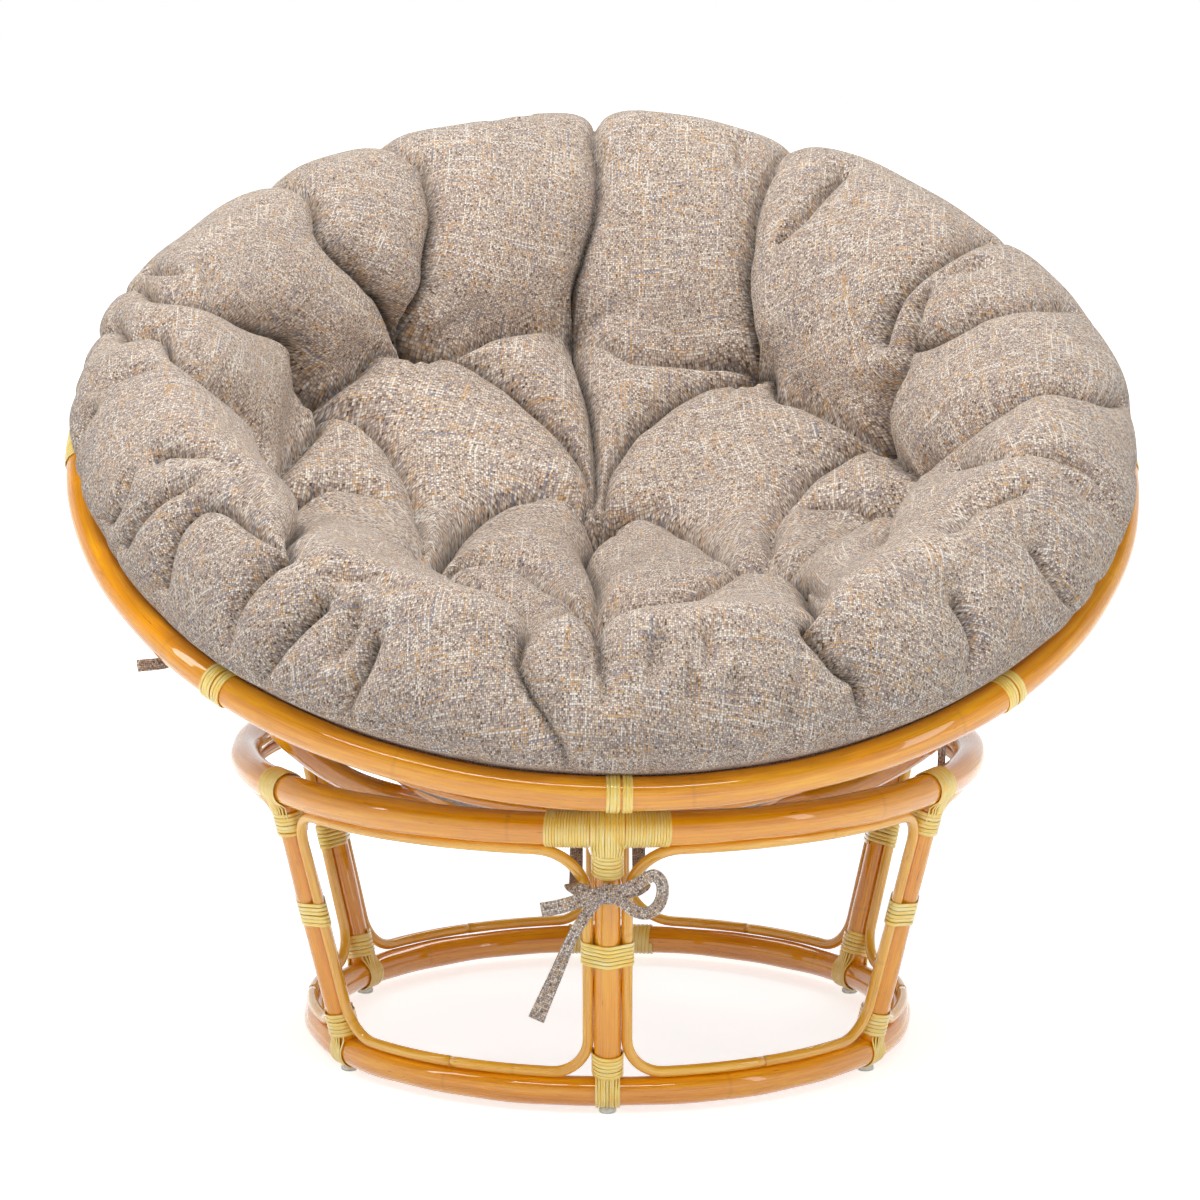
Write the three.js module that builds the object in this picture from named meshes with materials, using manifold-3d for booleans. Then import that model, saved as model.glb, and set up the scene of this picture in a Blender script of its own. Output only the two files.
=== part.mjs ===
// A papasan chair: a round cane bowl that lies, tipped forward, in the top ring of a cane stand, with a
// thick tufted cushion in it. Millimetres, +Z up, and the sitter faces -Y. The origin is on the floor,
// straight below the middle of the bowl's rim. Angles are degrees, counted round +Z from +X.
import * as THREE from "three";
import { mergeVertices } from "three/addons/utils/BufferGeometryUtils.js";
import Module from "manifold-3d";

const wasm = await Module();
wasm.setup();

// Poles, rods and the flat cane strip that binds them
const rim_pole_radius = 16.5;
const ring_pole_radius = 16.5;
const foot_pole_radius = 15;
const post_radius = 13;
const bay_rod_radius = 5.5;
const rib_radius = 12;
const hoop_radius = 8;
const strip_width = 4.2;
const strip_thickness = 2;

// Clearances between pieces that touch
const seat_gap = 0.3;
const strip_spacing = 0.8;
const rod_end_gap = 0.6;

// Stand
const post_count = 6;
const rear_post = 3;
const top_ring_radius = 372;
const top_ring_height = 299;
const foot_ring_radius = 300;
const glide_height = 5.7;
const glide_radius = 8.5;
const front_corner_radius = 52;
const side_corner_radius = 34;
const foot_corner_radius = 36;
const rear_corner_radius = 54;
const foot_ring_height = glide_height + seat_gap + foot_pole_radius;

// Bindings of the stand, measured along what they bind
const post_wrap_length = 25;
const mid_wrap_turns = 5;
const mid_wrap_height_share = 0.54;
const splice_turns = 8;
const splice_start = 15.5;
const foot_splice_ends = [-52, 40];

// Bowl, where depths are counted down from the middle of the rim pole
const rim_radius = 533.5;
const rim_height = 593;
const rim_setback = 51;
const bowl_depth = 402;
const bowl_lean = 27.8;
const lean_heading = 3.9;
const rib_count = 8;
const rib_turn = 2;
const rim_splice_turns = 14;
const rim_splice_azimuth = 180.5;

// How far out (shares of the rim's radius) and how deep (shares of the bowl's depth) a rib runs
const rib_profile_shares = [
  [0.9475, 0.024],
  [0.9, 0.144],
  [0.8245, 0.3134],
  [0.6915, 0.5299],
  [0.5623, 0.6866],
  [0.3936, 0.8532],
  [0.2624, 0.9478],
  [0.165, 1],
];
// Where along a rib the three inner hoops lie
const hoop_place_shares = [0.24, 0.58, 0.965];

// Cushion, where heights are counted up from the middle of the rim pole
const roll_middle_radius = 432;
const roll_middle_height = 48;
const roll_half_width = 101;
const roll_half_height = 80;
const centre_tuft_depth = 88;
const ring_tuft_depth = 20;
const seat_crown = 34;
const roll_crease = 13;
const crease_share = 0.6;
const cushion_base_depth = 292;
const cushion_skirt_radius = 487.5;
const lines_per_petal = 6;
// The tufts that ring the seat: the azimuth, and how far out as a share of the rim's radius
const tuft_ring = [
  [16, 0.555],
  [53, 0.463],
  [98, 0.491],
  [132, 0.564],
  [156, 0.63],
  [190, 0.611],
  [223, 0.437],
  [268, 0.429],
  [314, 0.414],
  [350, 0.56],
];

// Ties, flat fabric tapes sewn to the cushion. Each point is to the right, back and up from the middle
// of the stand on the floor, or in the bowl its radius, azimuth and depth below the rim.
const tape_width = 14;
const tape_thickness = 4;
const strap_route = [
  [30, -145.9, 255.4],
  [30.6, -147.8, 248.4],
  [31, -151.5, 241],
  [31, -161, 230],
  [31, -175, 222],
  [31, -195, 218],
  [31, -222, 217],
  [31, -256, 220],
  [31, -288, 225],
  [31, -318, 231],
  [34.5, -345, 238],
  [34, -361.5, 241],
  [27, -375, 241],
  [17.5, -379.5, 240],
];
const bow_loop_route = [
  [2, -383, 240],
  [17, -389, 245],
  [32, -388, 252],
  [44, -388, 258],
  [51, -386, 251],
  [52, -384, 238],
  [47, -383, 226],
  [38, -383, 220],
  [27, -384, 222],
  [15, -384.3, 231],
  [2, -384, 238],
];
const bow_end_route = [
  [-2, -384, 240],
  [-14, -387.5, 238],
  [-30, -392, 233],
  [-47, -391, 228],
  [-63, -391, 225],
];
const bow_tail_route = [
  [-2, -384, 238],
  [-11, -387, 231],
  [-22, -388, 217],
  [-33, -386, 198],
  [-42, -383, 177],
  [-51, -381, 155],
  [-60, -380, 134],
  [-68, -380, 115],
];
const knot_radius = 9;
const knot_place = [0, -383, 239];
const left_tie_route = [
  [480.6, -143.5, 17.7],
  [486.3, -143.5, 22.3],
  [491.5, -143.5, 26.5],
  [500, -143.6, 33],
  [513, -143.7, 37],
  [531, -143.8, 36],
  [552, -144.2, 32],
];
const right_tie_route = [
  [398.1, -32.8, 133.1],
  [403.8, -32.8, 137.7],
  [409, -32.9, 142],
  [415, -33.2, 148],
  [419, -33.8, 156],
  [423, -34.5, 167],
  [427, -35.2, 178],
  [430.5, -35.8, 190],
];

// How finely round things are drawn
const ring_sides = 8;
const hoop_sides = 6;
const rod_steps = 36;
const rib_steps = 12;
const turn_steps = 12;
const sleeve_sides = 12;

// Finishes
const lacquered_cane = new THREE.MeshStandardMaterial({ color: "#cf8a2e", roughness: 0.28, metalness: 0 });
const bay_cane = new THREE.MeshStandardMaterial({ color: "#d6983f", roughness: 0.3, metalness: 0 });
const binding_cane = new THREE.MeshStandardMaterial({ color: "#dfb050", roughness: 0.42, metalness: 0 });
const tweed = new THREE.MeshStandardMaterial({ color: "#a59482", roughness: 0.92, metalness: 0 });
const clear_plastic = new THREE.MeshStandardMaterial({ color: "#e6e6e2", roughness: 0.2, metalness: 0 });

const turn = THREE.MathUtils.degToRad;
const along = (start, direction, distance) => start.clone().addScaledVector(direction, distance);

function namedMesh(name, geometry, material) {
  const mesh = new THREE.Mesh(geometry, material);
  mesh.name = name;
  return mesh;
}

// A full hoop about +Z, of round section, whose middle line is at height z.
function hoopGeometry({ hoop, pole, z, segments }, sides) {
  const profile = [];
  for (let i = 0; i <= sides; i += 1) {
    const angle = (2 * Math.PI * (i % sides)) / sides;
    profile.push(new THREE.Vector2(hoop + pole * Math.cos(angle), pole * Math.sin(angle)));
  }
  const ring = new THREE.LatheGeometry(profile, segments);
  ring.rotateX(Math.PI / 2);
  ring.translate(0, 0, z);
  return ring;
}

// A drawn hoop is a polygon: how far out its side is at an azimuth, as a share of its radius.
function polygonReach(azimuth, segments) {
  const step = (2 * Math.PI) / segments;
  const from_corner = THREE.MathUtils.euclideanModulo(azimuth + Math.PI / 2, step);
  return Math.cos(step / 2) / Math.cos(from_corner - step / 2);
}

// A round or oval bar along a smooth open curve.
function barGeometry(points, half_width, half_thickness, sides, steps) {
  const section = new THREE.Shape();
  for (let i = 0; i < sides; i += 1) {
    const angle = (2 * Math.PI * i) / sides;
    const x = half_thickness * Math.cos(angle);
    const y = half_width * Math.sin(angle);
    if (i === 0) section.moveTo(x, y);
    else section.lineTo(x, y);
  }
  section.closePath();
  const route = new THREE.CatmullRomCurve3(points, false, "centripetal");
  return new THREE.ExtrudeGeometry(section, { steps, extrudePath: route, bevelEnabled: false });
}

// The outline, at one distance from all of them, that a binding takes round circles side by side.
function boundOutline(circles, distance, sides) {
  const outline = [];
  for (let i = 0; i < sides; i += 1) {
    const angle = (2 * Math.PI * (i + 1 / 2)) / sides;
    const reach = (circle) => circle.x * Math.cos(angle) + circle.radius;
    const held = circles.reduce((best, circle) => (reach(circle) > reach(best) ? circle : best));
    const out = (held.radius + distance) / Math.cos(Math.PI / sides);
    outline.push(new THREE.Vector2(held.x + out * Math.cos(angle), out * Math.sin(angle)));
  }
  return outline;
}

// A plain sleeve of bound strip round those circles, from z = 0 up.
function sleeveGeometry(circles, length) {
  const sleeve = new THREE.Shape(boundOutline(circles, seat_gap + strip_thickness, sleeve_sides));
  sleeve.holes.push(new THREE.Path(boundOutline(circles, seat_gap, sleeve_sides)));
  return new THREE.ExtrudeGeometry(sleeve, { depth: length, bevelEnabled: false });
}

// One unbroken flat strip through the given stations. Each has its middle point, the direction across
// the strip's width and the one through its thickness.
function stripGeometry(stations) {
  const positions = [];
  const corner = (station, w, t) => {
    const at = along(station.middle, station.across, (w * strip_width) / 2);
    return along(at, station.out, (t * strip_thickness) / 2);
  };
  for (const station of stations) {
    for (const [w, t] of [[-1, -1], [1, -1], [1, 1], [-1, 1]]) positions.push(...corner(station, w, t));
  }
  const faces = [0, 1, 2, 0, 2, 3];
  const sides = 4;
  for (let i = 0; i + 1 < stations.length; i += 1) {
    for (let k = 0; k < sides; k += 1) {
      const a = i * sides + k;
      const b = i * sides + ((k + 1) % sides);
      faces.push(a, a + sides, b, b, a + sides, b + sides);
    }
  }
  const last = (stations.length - 1) * sides;
  faces.push(last, last + 2, last + 1, last, last + 3, last + 2);
  const strip = new THREE.BufferGeometry();
  strip.setAttribute("position", new THREE.Float32BufferAttribute(positions, 3));
  strip.setIndex(faces);
  return strip;
}

// The least distance between a winding's turns, from corner points half a turn or more apart.
function leastSelfGap(name, strip) {
  const place = strip.getAttribute("position");
  const half_turn = (turn_steps / 2) * 4;
  const a = new THREE.Vector3();
  const b = new THREE.Vector3();
  let least = Infinity;
  for (let i = 0; i < place.count; i += 1) {
    a.fromBufferAttribute(place, i);
    for (let j = i + half_turn; j < place.count; j += 1) {
      least = Math.min(least, a.distanceTo(b.fromBufferAttribute(place, j)));
    }
  }
  console.log(name, "least gap to itself", least.toFixed(2), "mm");
}

// Runs a strip round an outline, turn after turn. place(z, outline point, its neighbours) gives a
// station, z being how far along the binding it is, and each end runs on straight for a strip's width.
function windingGeometry(name, outline, turns, place) {
  const pitch = strip_width + strip_spacing;
  const count = turns * outline.length;
  const stations = [];
  for (let i = 0; i <= count; i += 1) {
    const k = i % outline.length;
    const before = outline[(k + outline.length - 1) % outline.length];
    const after = outline[(k + 1) % outline.length];
    stations.push(place((pitch * i) / outline.length, outline[k], before, after));
  }
  const runOut = (end, next) => {
    const direction = end.middle.clone().sub(next.middle).normalize();
    return { ...end, middle: along(end.middle, direction, strip_width) };
  };
  stations.unshift(runOut(stations[0], stations[1]));
  stations.push(runOut(stations.at(-1), stations.at(-2)));
  const strip = stripGeometry(stations);
  leastSelfGap(name, strip);
  return strip;
}

function outwardNormal(before, after) {
  return new THREE.Vector2(after.y - before.y, before.x - after.x).normalize();
}

// A winding round a hoop of the given sizes, which starts at an azimuth and advances round +Z.
function hoopWinding(name, { hoop, pole, z, segments }, azimuth, turns) {
  const z_middle = z;
  const circle = [{ x: 0, radius: pole }];
  const outline = boundOutline(circle, seat_gap + strip_thickness / 2, turn_steps);
  return windingGeometry(name, outline, turns, (advance, point, before, after) => {
    const angle = turn(azimuth) + advance / hoop;
    const radial = new THREE.Vector3(Math.cos(angle), Math.sin(angle), 0);
    const up = new THREE.Vector3(0, 0, 1);
    const normal = outwardNormal(before, after);
    const reach = (hoop + point.x) * polygonReach(angle, segments);
    const middle = along(radial.clone().multiplyScalar(reach), up, z_middle + point.y);
    const out = along(radial.clone().multiplyScalar(normal.x), up, normal.y);
    return { middle, out, across: new THREE.Vector3(-Math.sin(angle), Math.cos(angle), 0) };
  });
}

// A winding round a post and its two rods, from z = 0 up.
function postWinding(name, circles, turns) {
  const outline = boundOutline(circles, seat_gap + strip_thickness / 2, turn_steps);
  return windingGeometry(name, outline, turns, (z, point, before, after) => {
    const normal = outwardNormal(before, after);
    const middle = new THREE.Vector3(point.x, point.y, z);
    const out = new THREE.Vector3(normal.x, normal.y, 0);
    return { middle, out, across: new THREE.Vector3(0, 0, -1) };
  });
}

const top_ring = { hoop: top_ring_radius, pole: ring_pole_radius, z: top_ring_height, segments: 60 };
const foot_ring = { hoop: foot_ring_radius, pole: foot_pole_radius, z: foot_ring_height, segments: 54 };
const rim_ring = { hoop: rim_radius, pole: rim_pole_radius, z: 0, segments: 64 };

// The posts lean outwards, so they and the bay rods lie on one cone between the two rings.
const post_rise = top_ring_height - foot_ring_height;
const post_spread = top_ring_radius - foot_ring_radius;
const post_slope = Math.hypot(post_rise, post_spread);
const cone_radius = (z) => foot_ring_radius + (post_spread * (z - foot_ring_height)) / post_rise;
const post_azimuth = (i) => -90 + (360 / post_count) * i;
const rod_offset = post_radius + bay_rod_radius + seat_gap;

// A group whose +Z runs up post i from the foot ring's middle line, and whose +X is level.
function postFrame(i) {
  const lean = new THREE.Group();
  lean.rotation.x = -Math.atan2(post_spread, post_rise);
  lean.position.set(0, foot_ring_radius, foot_ring_height);
  const frame = new THREE.Group();
  frame.rotation.z = turn(post_azimuth(i) - 90);
  frame.add(lean);
  return { frame, lean };
}

function postMesh(i) {
  const start = foot_pole_radius + seat_gap;
  const length = post_slope - start - ring_pole_radius - seat_gap;
  const pole = new THREE.CylinderGeometry(post_radius, post_radius, length, ring_sides + 2);
  pole.rotateX(Math.PI / 2);
  pole.translate(0, 0, start + length / 2);
  return namedMesh(`post_${i + 1}`, pole, lacquered_cane);
}

// The wraps round one post, in its own frame. The three in front show their turns.
function postWraps(i) {
  const post = [{ x: 0, radius: post_radius }];
  const bundle = [
    ...post,
    { x: rod_offset, radius: bay_rod_radius },
    { x: -rod_offset, radius: bay_rod_radius },
  ];
  const foot_wrap = namedMesh(`foot_wrap_${i + 1}`, sleeveGeometry(post, post_wrap_length), binding_cane);
  const over_strip = (pole) => (pole + 2 * seat_gap + strip_thickness) / Math.cos(Math.PI / sleeve_sides);
  foot_wrap.position.z = over_strip(foot_pole_radius);
  const top_wrap = namedMesh(`top_wrap_${i + 1}`, sleeveGeometry(post, post_wrap_length), binding_cane);
  top_wrap.position.z = post_slope - over_strip(ring_pole_radius) - post_wrap_length;
  const mid_length = mid_wrap_turns * (strip_width + strip_spacing);
  const mid_name = `mid_wrap_${i + 1}`;
  const at_front = Math.cos(turn(post_azimuth(i) + 90)) > 0;
  const mid = at_front ? postWinding(mid_name, bundle, mid_wrap_turns) : sleeveGeometry(bundle, mid_length);
  const mid_wrap = namedMesh(mid_name, mid, binding_cane);
  mid_wrap.position.z = mid_wrap_height_share * post_slope - mid_length / 2;
  return [foot_wrap, top_wrap, mid_wrap];
}

// Half of a bay rod's route, from the middle of the foot run up one post to the middle of the top run.
function halfBayRoute(post, side, top_corner, foot_corner) {
  const low = foot_ring_height + (foot_pole_radius + bay_rod_radius + seat_gap) * (post_rise / post_slope);
  const high = top_ring_height - (ring_pole_radius + bay_rod_radius + seat_gap) * (post_rise / post_slope);
  const middle = turn(180 / post_count);
  const points = [];
  const place = (aside, z) => {
    const radius = Math.hypot(cone_radius(z), rod_offset);
    const angle = turn(post_azimuth(post)) + side * Math.min(aside / radius, middle);
    points.push(new THREE.Vector3(radius * Math.cos(angle), radius * Math.sin(angle), z));
  };
  const corner = (radius, z_middle, from, to) => {
    const steps = 4;
    for (let k = 0; k <= steps; k += 1) {
      const angle = turn(from + ((to - from) * k) / steps);
      place(rod_offset + radius - radius * Math.cos(angle), z_middle + radius * Math.sin(angle));
    }
  };
  for (const share of [0, 1 / 3, 2 / 3]) {
    const bend_start = rod_offset + foot_corner;
    const reach = cone_radius(low) * middle;
    place(reach - (reach - bend_start) * share, low);
  }
  corner(foot_corner, low + foot_corner, -90, 0);
  place(rod_offset, (low + foot_corner + high - top_corner) / 2);
  corner(top_corner, high - top_corner, 0, 90);
  for (const share of [2 / 3, 1 / 3]) {
    const bend_start = rod_offset + top_corner;
    const reach = cone_radius(high) * middle;
    place(reach - (reach - bend_start) * share, high);
  }
  return points;
}

// One thin rod bent into a loop round each bay, its two ends butted in the middle of the foot run.
function bayRodMesh(i) {
  const next = (i + 1) % post_count;
  const top_corner = (post) => (post === 0 ? front_corner_radius : side_corner_radius);
  const last_corner = next === rear_post ? rear_corner_radius : foot_corner_radius;
  const up = halfBayRoute(i, 1, top_corner(i), foot_corner_radius);
  const down = halfBayRoute(next, -1, top_corner(next), last_corner).reverse();
  const high = top_ring_height - (ring_pole_radius + bay_rod_radius + seat_gap) * (post_rise / post_slope);
  const middle = turn(post_azimuth(i) + 180 / post_count);
  const radius = Math.hypot(cone_radius(high), rod_offset);
  const top = new THREE.Vector3(radius * Math.cos(middle), radius * Math.sin(middle), high);
  const backOff = new THREE.Vector3(-Math.sin(middle), Math.cos(middle), 0).multiplyScalar(rod_end_gap / 2);
  up[0].add(backOff);
  down.at(-1).sub(backOff);
  // Each rod is drawn from its left end, seen from outside, except the one behind on the left.
  const route = i === rear_post ? [...up, top, ...down].reverse() : [...up, top, ...down];
  const rod = barGeometry(route, bay_rod_radius, bay_rod_radius, hoop_sides, rod_steps);
  return namedMesh(`bay_rod_${i + 1}`, rod, bay_cane);
}

function glideMesh(i) {
  const glide = new THREE.CylinderGeometry(glide_radius, glide_radius, glide_height, sleeve_sides);
  glide.rotateX(Math.PI / 2);
  const azimuth = turn(post_azimuth(i));
  const x = foot_ring_radius * Math.cos(azimuth);
  glide.translate(x, foot_ring_radius * Math.sin(azimuth), glide_height / 2);
  return namedMesh(`glide_${i + 1}`, glide, clear_plastic);
}

// The strip bound round the foot ring's own joint, at the back, let in round the rear post's foot and
// its glide. Its rings of points are at its ends and at the foot ring's corners between them.
function footSpliceMesh() {
  const step = (2 * Math.PI) / foot_ring.segments;
  const [from, to] = foot_splice_ends.map((end) => Math.PI / 2 + end / foot_ring_radius);
  const azimuths = [from];
  for (let at = Math.ceil(from / step - 1 / 2) + 1 / 2; at * step < to; at += 1) azimuths.push(at * step);
  azimuths.push(to);
  const pole = [{ x: 0, radius: foot_pole_radius }];
  const inner = boundOutline(pole, seat_gap, sleeve_sides);
  const outer = boundOutline(pole, seat_gap + strip_thickness, sleeve_sides);
  const positions = [];
  for (const azimuth of azimuths) {
    for (const p of [...inner, ...outer]) {
      const radius = (foot_ring_radius + p.x) * polygonReach(azimuth, foot_ring.segments);
      positions.push(radius * Math.cos(azimuth), radius * Math.sin(azimuth), foot_ring_height + p.y);
    }
  }
  const faces = [];
  const ring = 2 * sleeve_sides;
  const last = (azimuths.length - 1) * ring;
  for (let s = 0; s < sleeve_sides; s += 1) {
    const t = (s + 1) % sleeve_sides;
    for (let start = 0; start < last; start += ring) {
      const [a, b] = [start + s, start + t];
      const [c, d] = [a + sleeve_sides, b + sleeve_sides];
      faces.push(a, b, a + ring, b, b + ring, a + ring);
      faces.push(c, c + ring, d, d, c + ring, d + ring);
    }
    faces.push(s, s + sleeve_sides, t, t, s + sleeve_sides, t + sleeve_sides);
    faces.push(last + s, last + t, last + s + sleeve_sides);
    faces.push(last + t, last + t + sleeve_sides, last + s + sleeve_sides);
  }
  const sleeve = new THREE.BufferGeometry();
  sleeve.setAttribute("position", new THREE.Float32BufferAttribute(positions, 3));
  sleeve.setIndex(faces);
  const post_room = (post_radius + seat_gap) / Math.cos(Math.PI / sleeve_sides);
  const post_hole = new THREE.CylinderGeometry(post_room, post_room, 2 * foot_pole_radius, sleeve_sides);
  post_hole.rotateX(Math.PI / 2);
  post_hole.translate(0, 0, 2 * foot_pole_radius);
  post_hole.rotateX(-Math.atan2(post_spread, post_rise));
  post_hole.translate(0, foot_ring_radius, foot_ring_height);
  const hole_radius = glide_radius + seat_gap;
  const glide_hole = new THREE.CylinderGeometry(hole_radius, hole_radius, 2 * foot_pole_radius, sleeve_sides);
  glide_hole.rotateX(Math.PI / 2);
  glide_hole.translate(0, foot_ring_radius, 0);
  const solid = solidOf(sleeve).subtract(solidOf(post_hole)).subtract(solidOf(glide_hole));
  return namedMesh("foot_splice", geometryOf(solid), binding_cane);
}

function standGroup() {
  const stand = new THREE.Group();
  const top = hoopGeometry(top_ring, ring_sides);
  const foot = hoopGeometry(foot_ring, ring_sides);
  stand.add(namedMesh("top_ring", top, lacquered_cane), namedMesh("foot_ring", foot, lacquered_cane));
  for (let i = 0; i < post_count; i += 1) {
    const { frame, lean } = postFrame(i);
    lean.add(postMesh(i), ...postWraps(i));
    stand.add(frame, bayRodMesh(i), glideMesh(i));
  }
  const start = splice_start + strip_width / 2;
  const width = splice_turns * (strip_width + strip_spacing);
  const splices = [
    ["front_splice_right", start],
    ["front_splice_left", -start - width],
  ];
  for (const [name, from] of splices) {
    const azimuth = -90 + THREE.MathUtils.radToDeg(from / top_ring_radius);
    const strip = hoopWinding(name, top_ring, azimuth, splice_turns);
    stand.add(namedMesh(name, strip, binding_cane));
  }
  stand.add(footSpliceMesh());
  return stand;
}

// The middle line of a rib in the plane of its azimuth: x is how far out, y how far up from the rim.
const rib_line = new THREE.CatmullRomCurve3(
  rib_profile_shares.map(([out, down]) => new THREE.Vector3(out * rim_radius, -down * bowl_depth, 0)),
  false,
  "centripetal",
);

// A point off the rib line, towards the inside of the bowl.
function insideRib(share, distance) {
  const direction = rib_line.getTangentAt(share);
  const inward = new THREE.Vector3(direction.y, -direction.x, 0);
  return along(rib_line.getPointAt(share), inward, distance);
}

function ribMesh(i) {
  const azimuth = turn(rib_turn + (360 / rib_count) * i);
  const points = rib_line.getSpacedPoints(rib_steps).map(
    (p) => new THREE.Vector3(p.x * Math.cos(azimuth), p.x * Math.sin(azimuth), p.y),
  );
  const rib = barGeometry(points, rib_radius, rib_radius, ring_sides, rib_steps);
  return namedMesh(`rib_${i + 1}`, rib, lacquered_cane);
}

function bowlHoops() {
  const hoops = [namedMesh("rim_hoop", hoopGeometry(rim_ring, ring_sides), lacquered_cane)];
  const names = ["upper_hoop", "lower_hoop", "base_hoop"];
  const segments = [44, 32, 20];
  for (const [i, share] of hoop_place_shares.entries()) {
    const place = insideRib(share, rib_radius + hoop_radius + seat_gap);
    const ring = { hoop: place.x, pole: hoop_radius, z: place.y, segments: segments[i] };
    hoops.push(namedMesh(names[i], hoopGeometry(ring, hoop_sides), lacquered_cane));
  }
  return hoops;
}

// How far out the ring of tufts is at an azimuth, and how close the azimuth is to a tuft (1 at a tuft,
// 0 halfway to the next). lines holds the azimuths of the cushion's mesh, so each crease is on one.
function petalLines() {
  const lines = [];
  for (const [i, [azimuth, radius_share]] of tuft_ring.entries()) {
    const [next_azimuth, next_share] = tuft_ring[(i + 1) % tuft_ring.length];
    const gap = (next_azimuth - azimuth + 360) % 360;
    for (let k = 0; k < lines_per_petal; k += 1) {
      const share = k / lines_per_petal;
      const radius = rim_radius * (radius_share + (next_share - radius_share) * share);
      lines.push({ azimuth: turn(azimuth + gap * share), radius, near: Math.abs(1 - 2 * share) });
    }
  }
  return lines;
}

// Keeps a point of the cushion's section off the rim pole, and off the strip bound round it.
function offRim(x, y, azimuth) {
  const from_rim = new THREE.Vector2(x - rim_radius, y);
  const splice_reach = rim_splice_turns * (strip_width + strip_spacing);
  const from_splice = Math.abs(azimuth - turn(rim_splice_azimuth)) * rim_radius;
  const bound = from_splice < splice_reach ? 2 * strip_thickness : 0;
  const least = rim_pole_radius + seat_gap + bound;
  if (from_rim.length() < least) from_rim.setLength(least);
  return new THREE.Vector2(rim_radius + from_rim.x, from_rim.y);
}

// The cushion's section at one azimuth, from above its middle out over the roll and back underneath.
function cushionSection(line) {
  const crease = line.near ** 3;
  const section = [];
  const seat_steps = 5;
  for (let k = 1; k <= seat_steps; k += 1) {
    const t = k / seat_steps;
    const dish = centre_tuft_depth + (ring_tuft_depth - centre_tuft_depth) * t * t;
    const between = 4 * t * (1 - t) * (1 - crease * crease_share);
    const around = t * t * (1 - line.near);
    section.push(new THREE.Vector2(line.radius * t, -dish + seat_crown * Math.max(between, around)));
  }
  for (const angle of [150, 125, 100, 75, 50, 25, 0, -25]) {
    const width = roll_half_width - roll_crease * crease;
    const height = roll_half_height - roll_crease * crease;
    const x = roll_middle_radius + width * Math.cos(turn(angle));
    const y = roll_middle_height + height * Math.sin(turn(angle));
    section.push(offRim(x, y, line.azimuth));
  }
  section.push(new THREE.Vector2(cushion_skirt_radius, -rim_pole_radius / 2));
  const on_hoops = rib_radius + 2 * hoop_radius + 3 * seat_gap;
  for (const share of [0.13, 0.24, 0.4, 0.56]) section.push(insideRib(share, on_hoops));
  section.push(new THREE.Vector2(rim_radius / 4, -cushion_base_depth));
  return section;
}

function cushionMesh() {
  const lines = petalLines();
  const positions = [0, 0, -centre_tuft_depth, 0, 0, -cushion_base_depth];
  let rings = 0;
  for (const line of lines) {
    const section = cushionSection(line);
    rings = section.length;
    for (const p of section) positions.push(p.x * Math.cos(line.azimuth), p.x * Math.sin(line.azimuth), p.y);
  }
  const [top, bottom, first] = [0, 1, 2];
  const faces = [];
  for (let j = 0; j < lines.length; j += 1) {
    const a = first + j * rings;
    const b = first + ((j + 1) % lines.length) * rings;
    faces.push(top, a, b, bottom, b + rings - 1, a + rings - 1);
    for (let k = 0; k + 1 < rings; k += 1) {
      faces.push(a + k, a + k + 1, b + k, b + k, a + k + 1, b + k + 1);
    }
  }
  const pad = new THREE.BufferGeometry();
  pad.setAttribute("position", new THREE.Float32BufferAttribute(positions, 3));
  pad.setIndex(faces);
  return namedMesh("cushion", pad, tweed);
}

// A mesh whose seams are closed, as a solid that can be joined to others.
function solidOf(geometry) {
  const bare = geometry.clone();
  bare.deleteAttribute("normal");
  bare.deleteAttribute("uv");
  const merged = mergeVertices(bare);
  const vertProperties = merged.getAttribute("position").array;
  return new wasm.Manifold(new wasm.Mesh({ numProp: 3, vertProperties, triVerts: new Uint32Array(merged.index.array) }));
}

function geometryOf(solid) {
  const mesh = solid.getMesh();
  const geometry = new THREE.BufferGeometry();
  geometry.setAttribute("position", new THREE.BufferAttribute(mesh.vertProperties, 3));
  geometry.setIndex(new THREE.BufferAttribute(mesh.triVerts, 1));
  return geometry;
}

function tapeGeometry(route) {
  const points = route.map((p) => new THREE.Vector3(...p));
  const steps = 2 * (points.length - 1);
  return barGeometry(points, tape_width / 2, tape_thickness / 2, ring_sides, steps);
}

// The front tie: two straps from under the cushion to the stand's front post, and the bow they end in.
function frontTie() {
  const pieces = [];
  for (const [name, side] of [["tie_strap_right", 1], ["tie_strap_left", -1]]) {
    const route = strap_route.map(([x, y, z]) => [side * x, y, z]);
    pieces.push(namedMesh(name, tapeGeometry(route), tweed));
  }
  const knot = new THREE.SphereGeometry(knot_radius, ring_sides, hoop_sides);
  knot.rotateX(Math.PI / 2);
  knot.translate(...knot_place);
  const parts = [bow_loop_route, bow_end_route, bow_tail_route].map((route) => solidOf(tapeGeometry(route)));
  const bow = parts.reduce((whole, part) => whole.add(part), solidOf(knot));
  pieces.push(namedMesh("front_bow", geometryOf(bow), tweed));
  return pieces;
}

function sideTie(name, route) {
  const points = route.map(([radius, azimuth, depth]) => [
    radius * Math.cos(turn(azimuth)),
    radius * Math.sin(turn(azimuth)),
    -depth,
  ]);
  return namedMesh(name, tapeGeometry(points), tweed);
}

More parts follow.
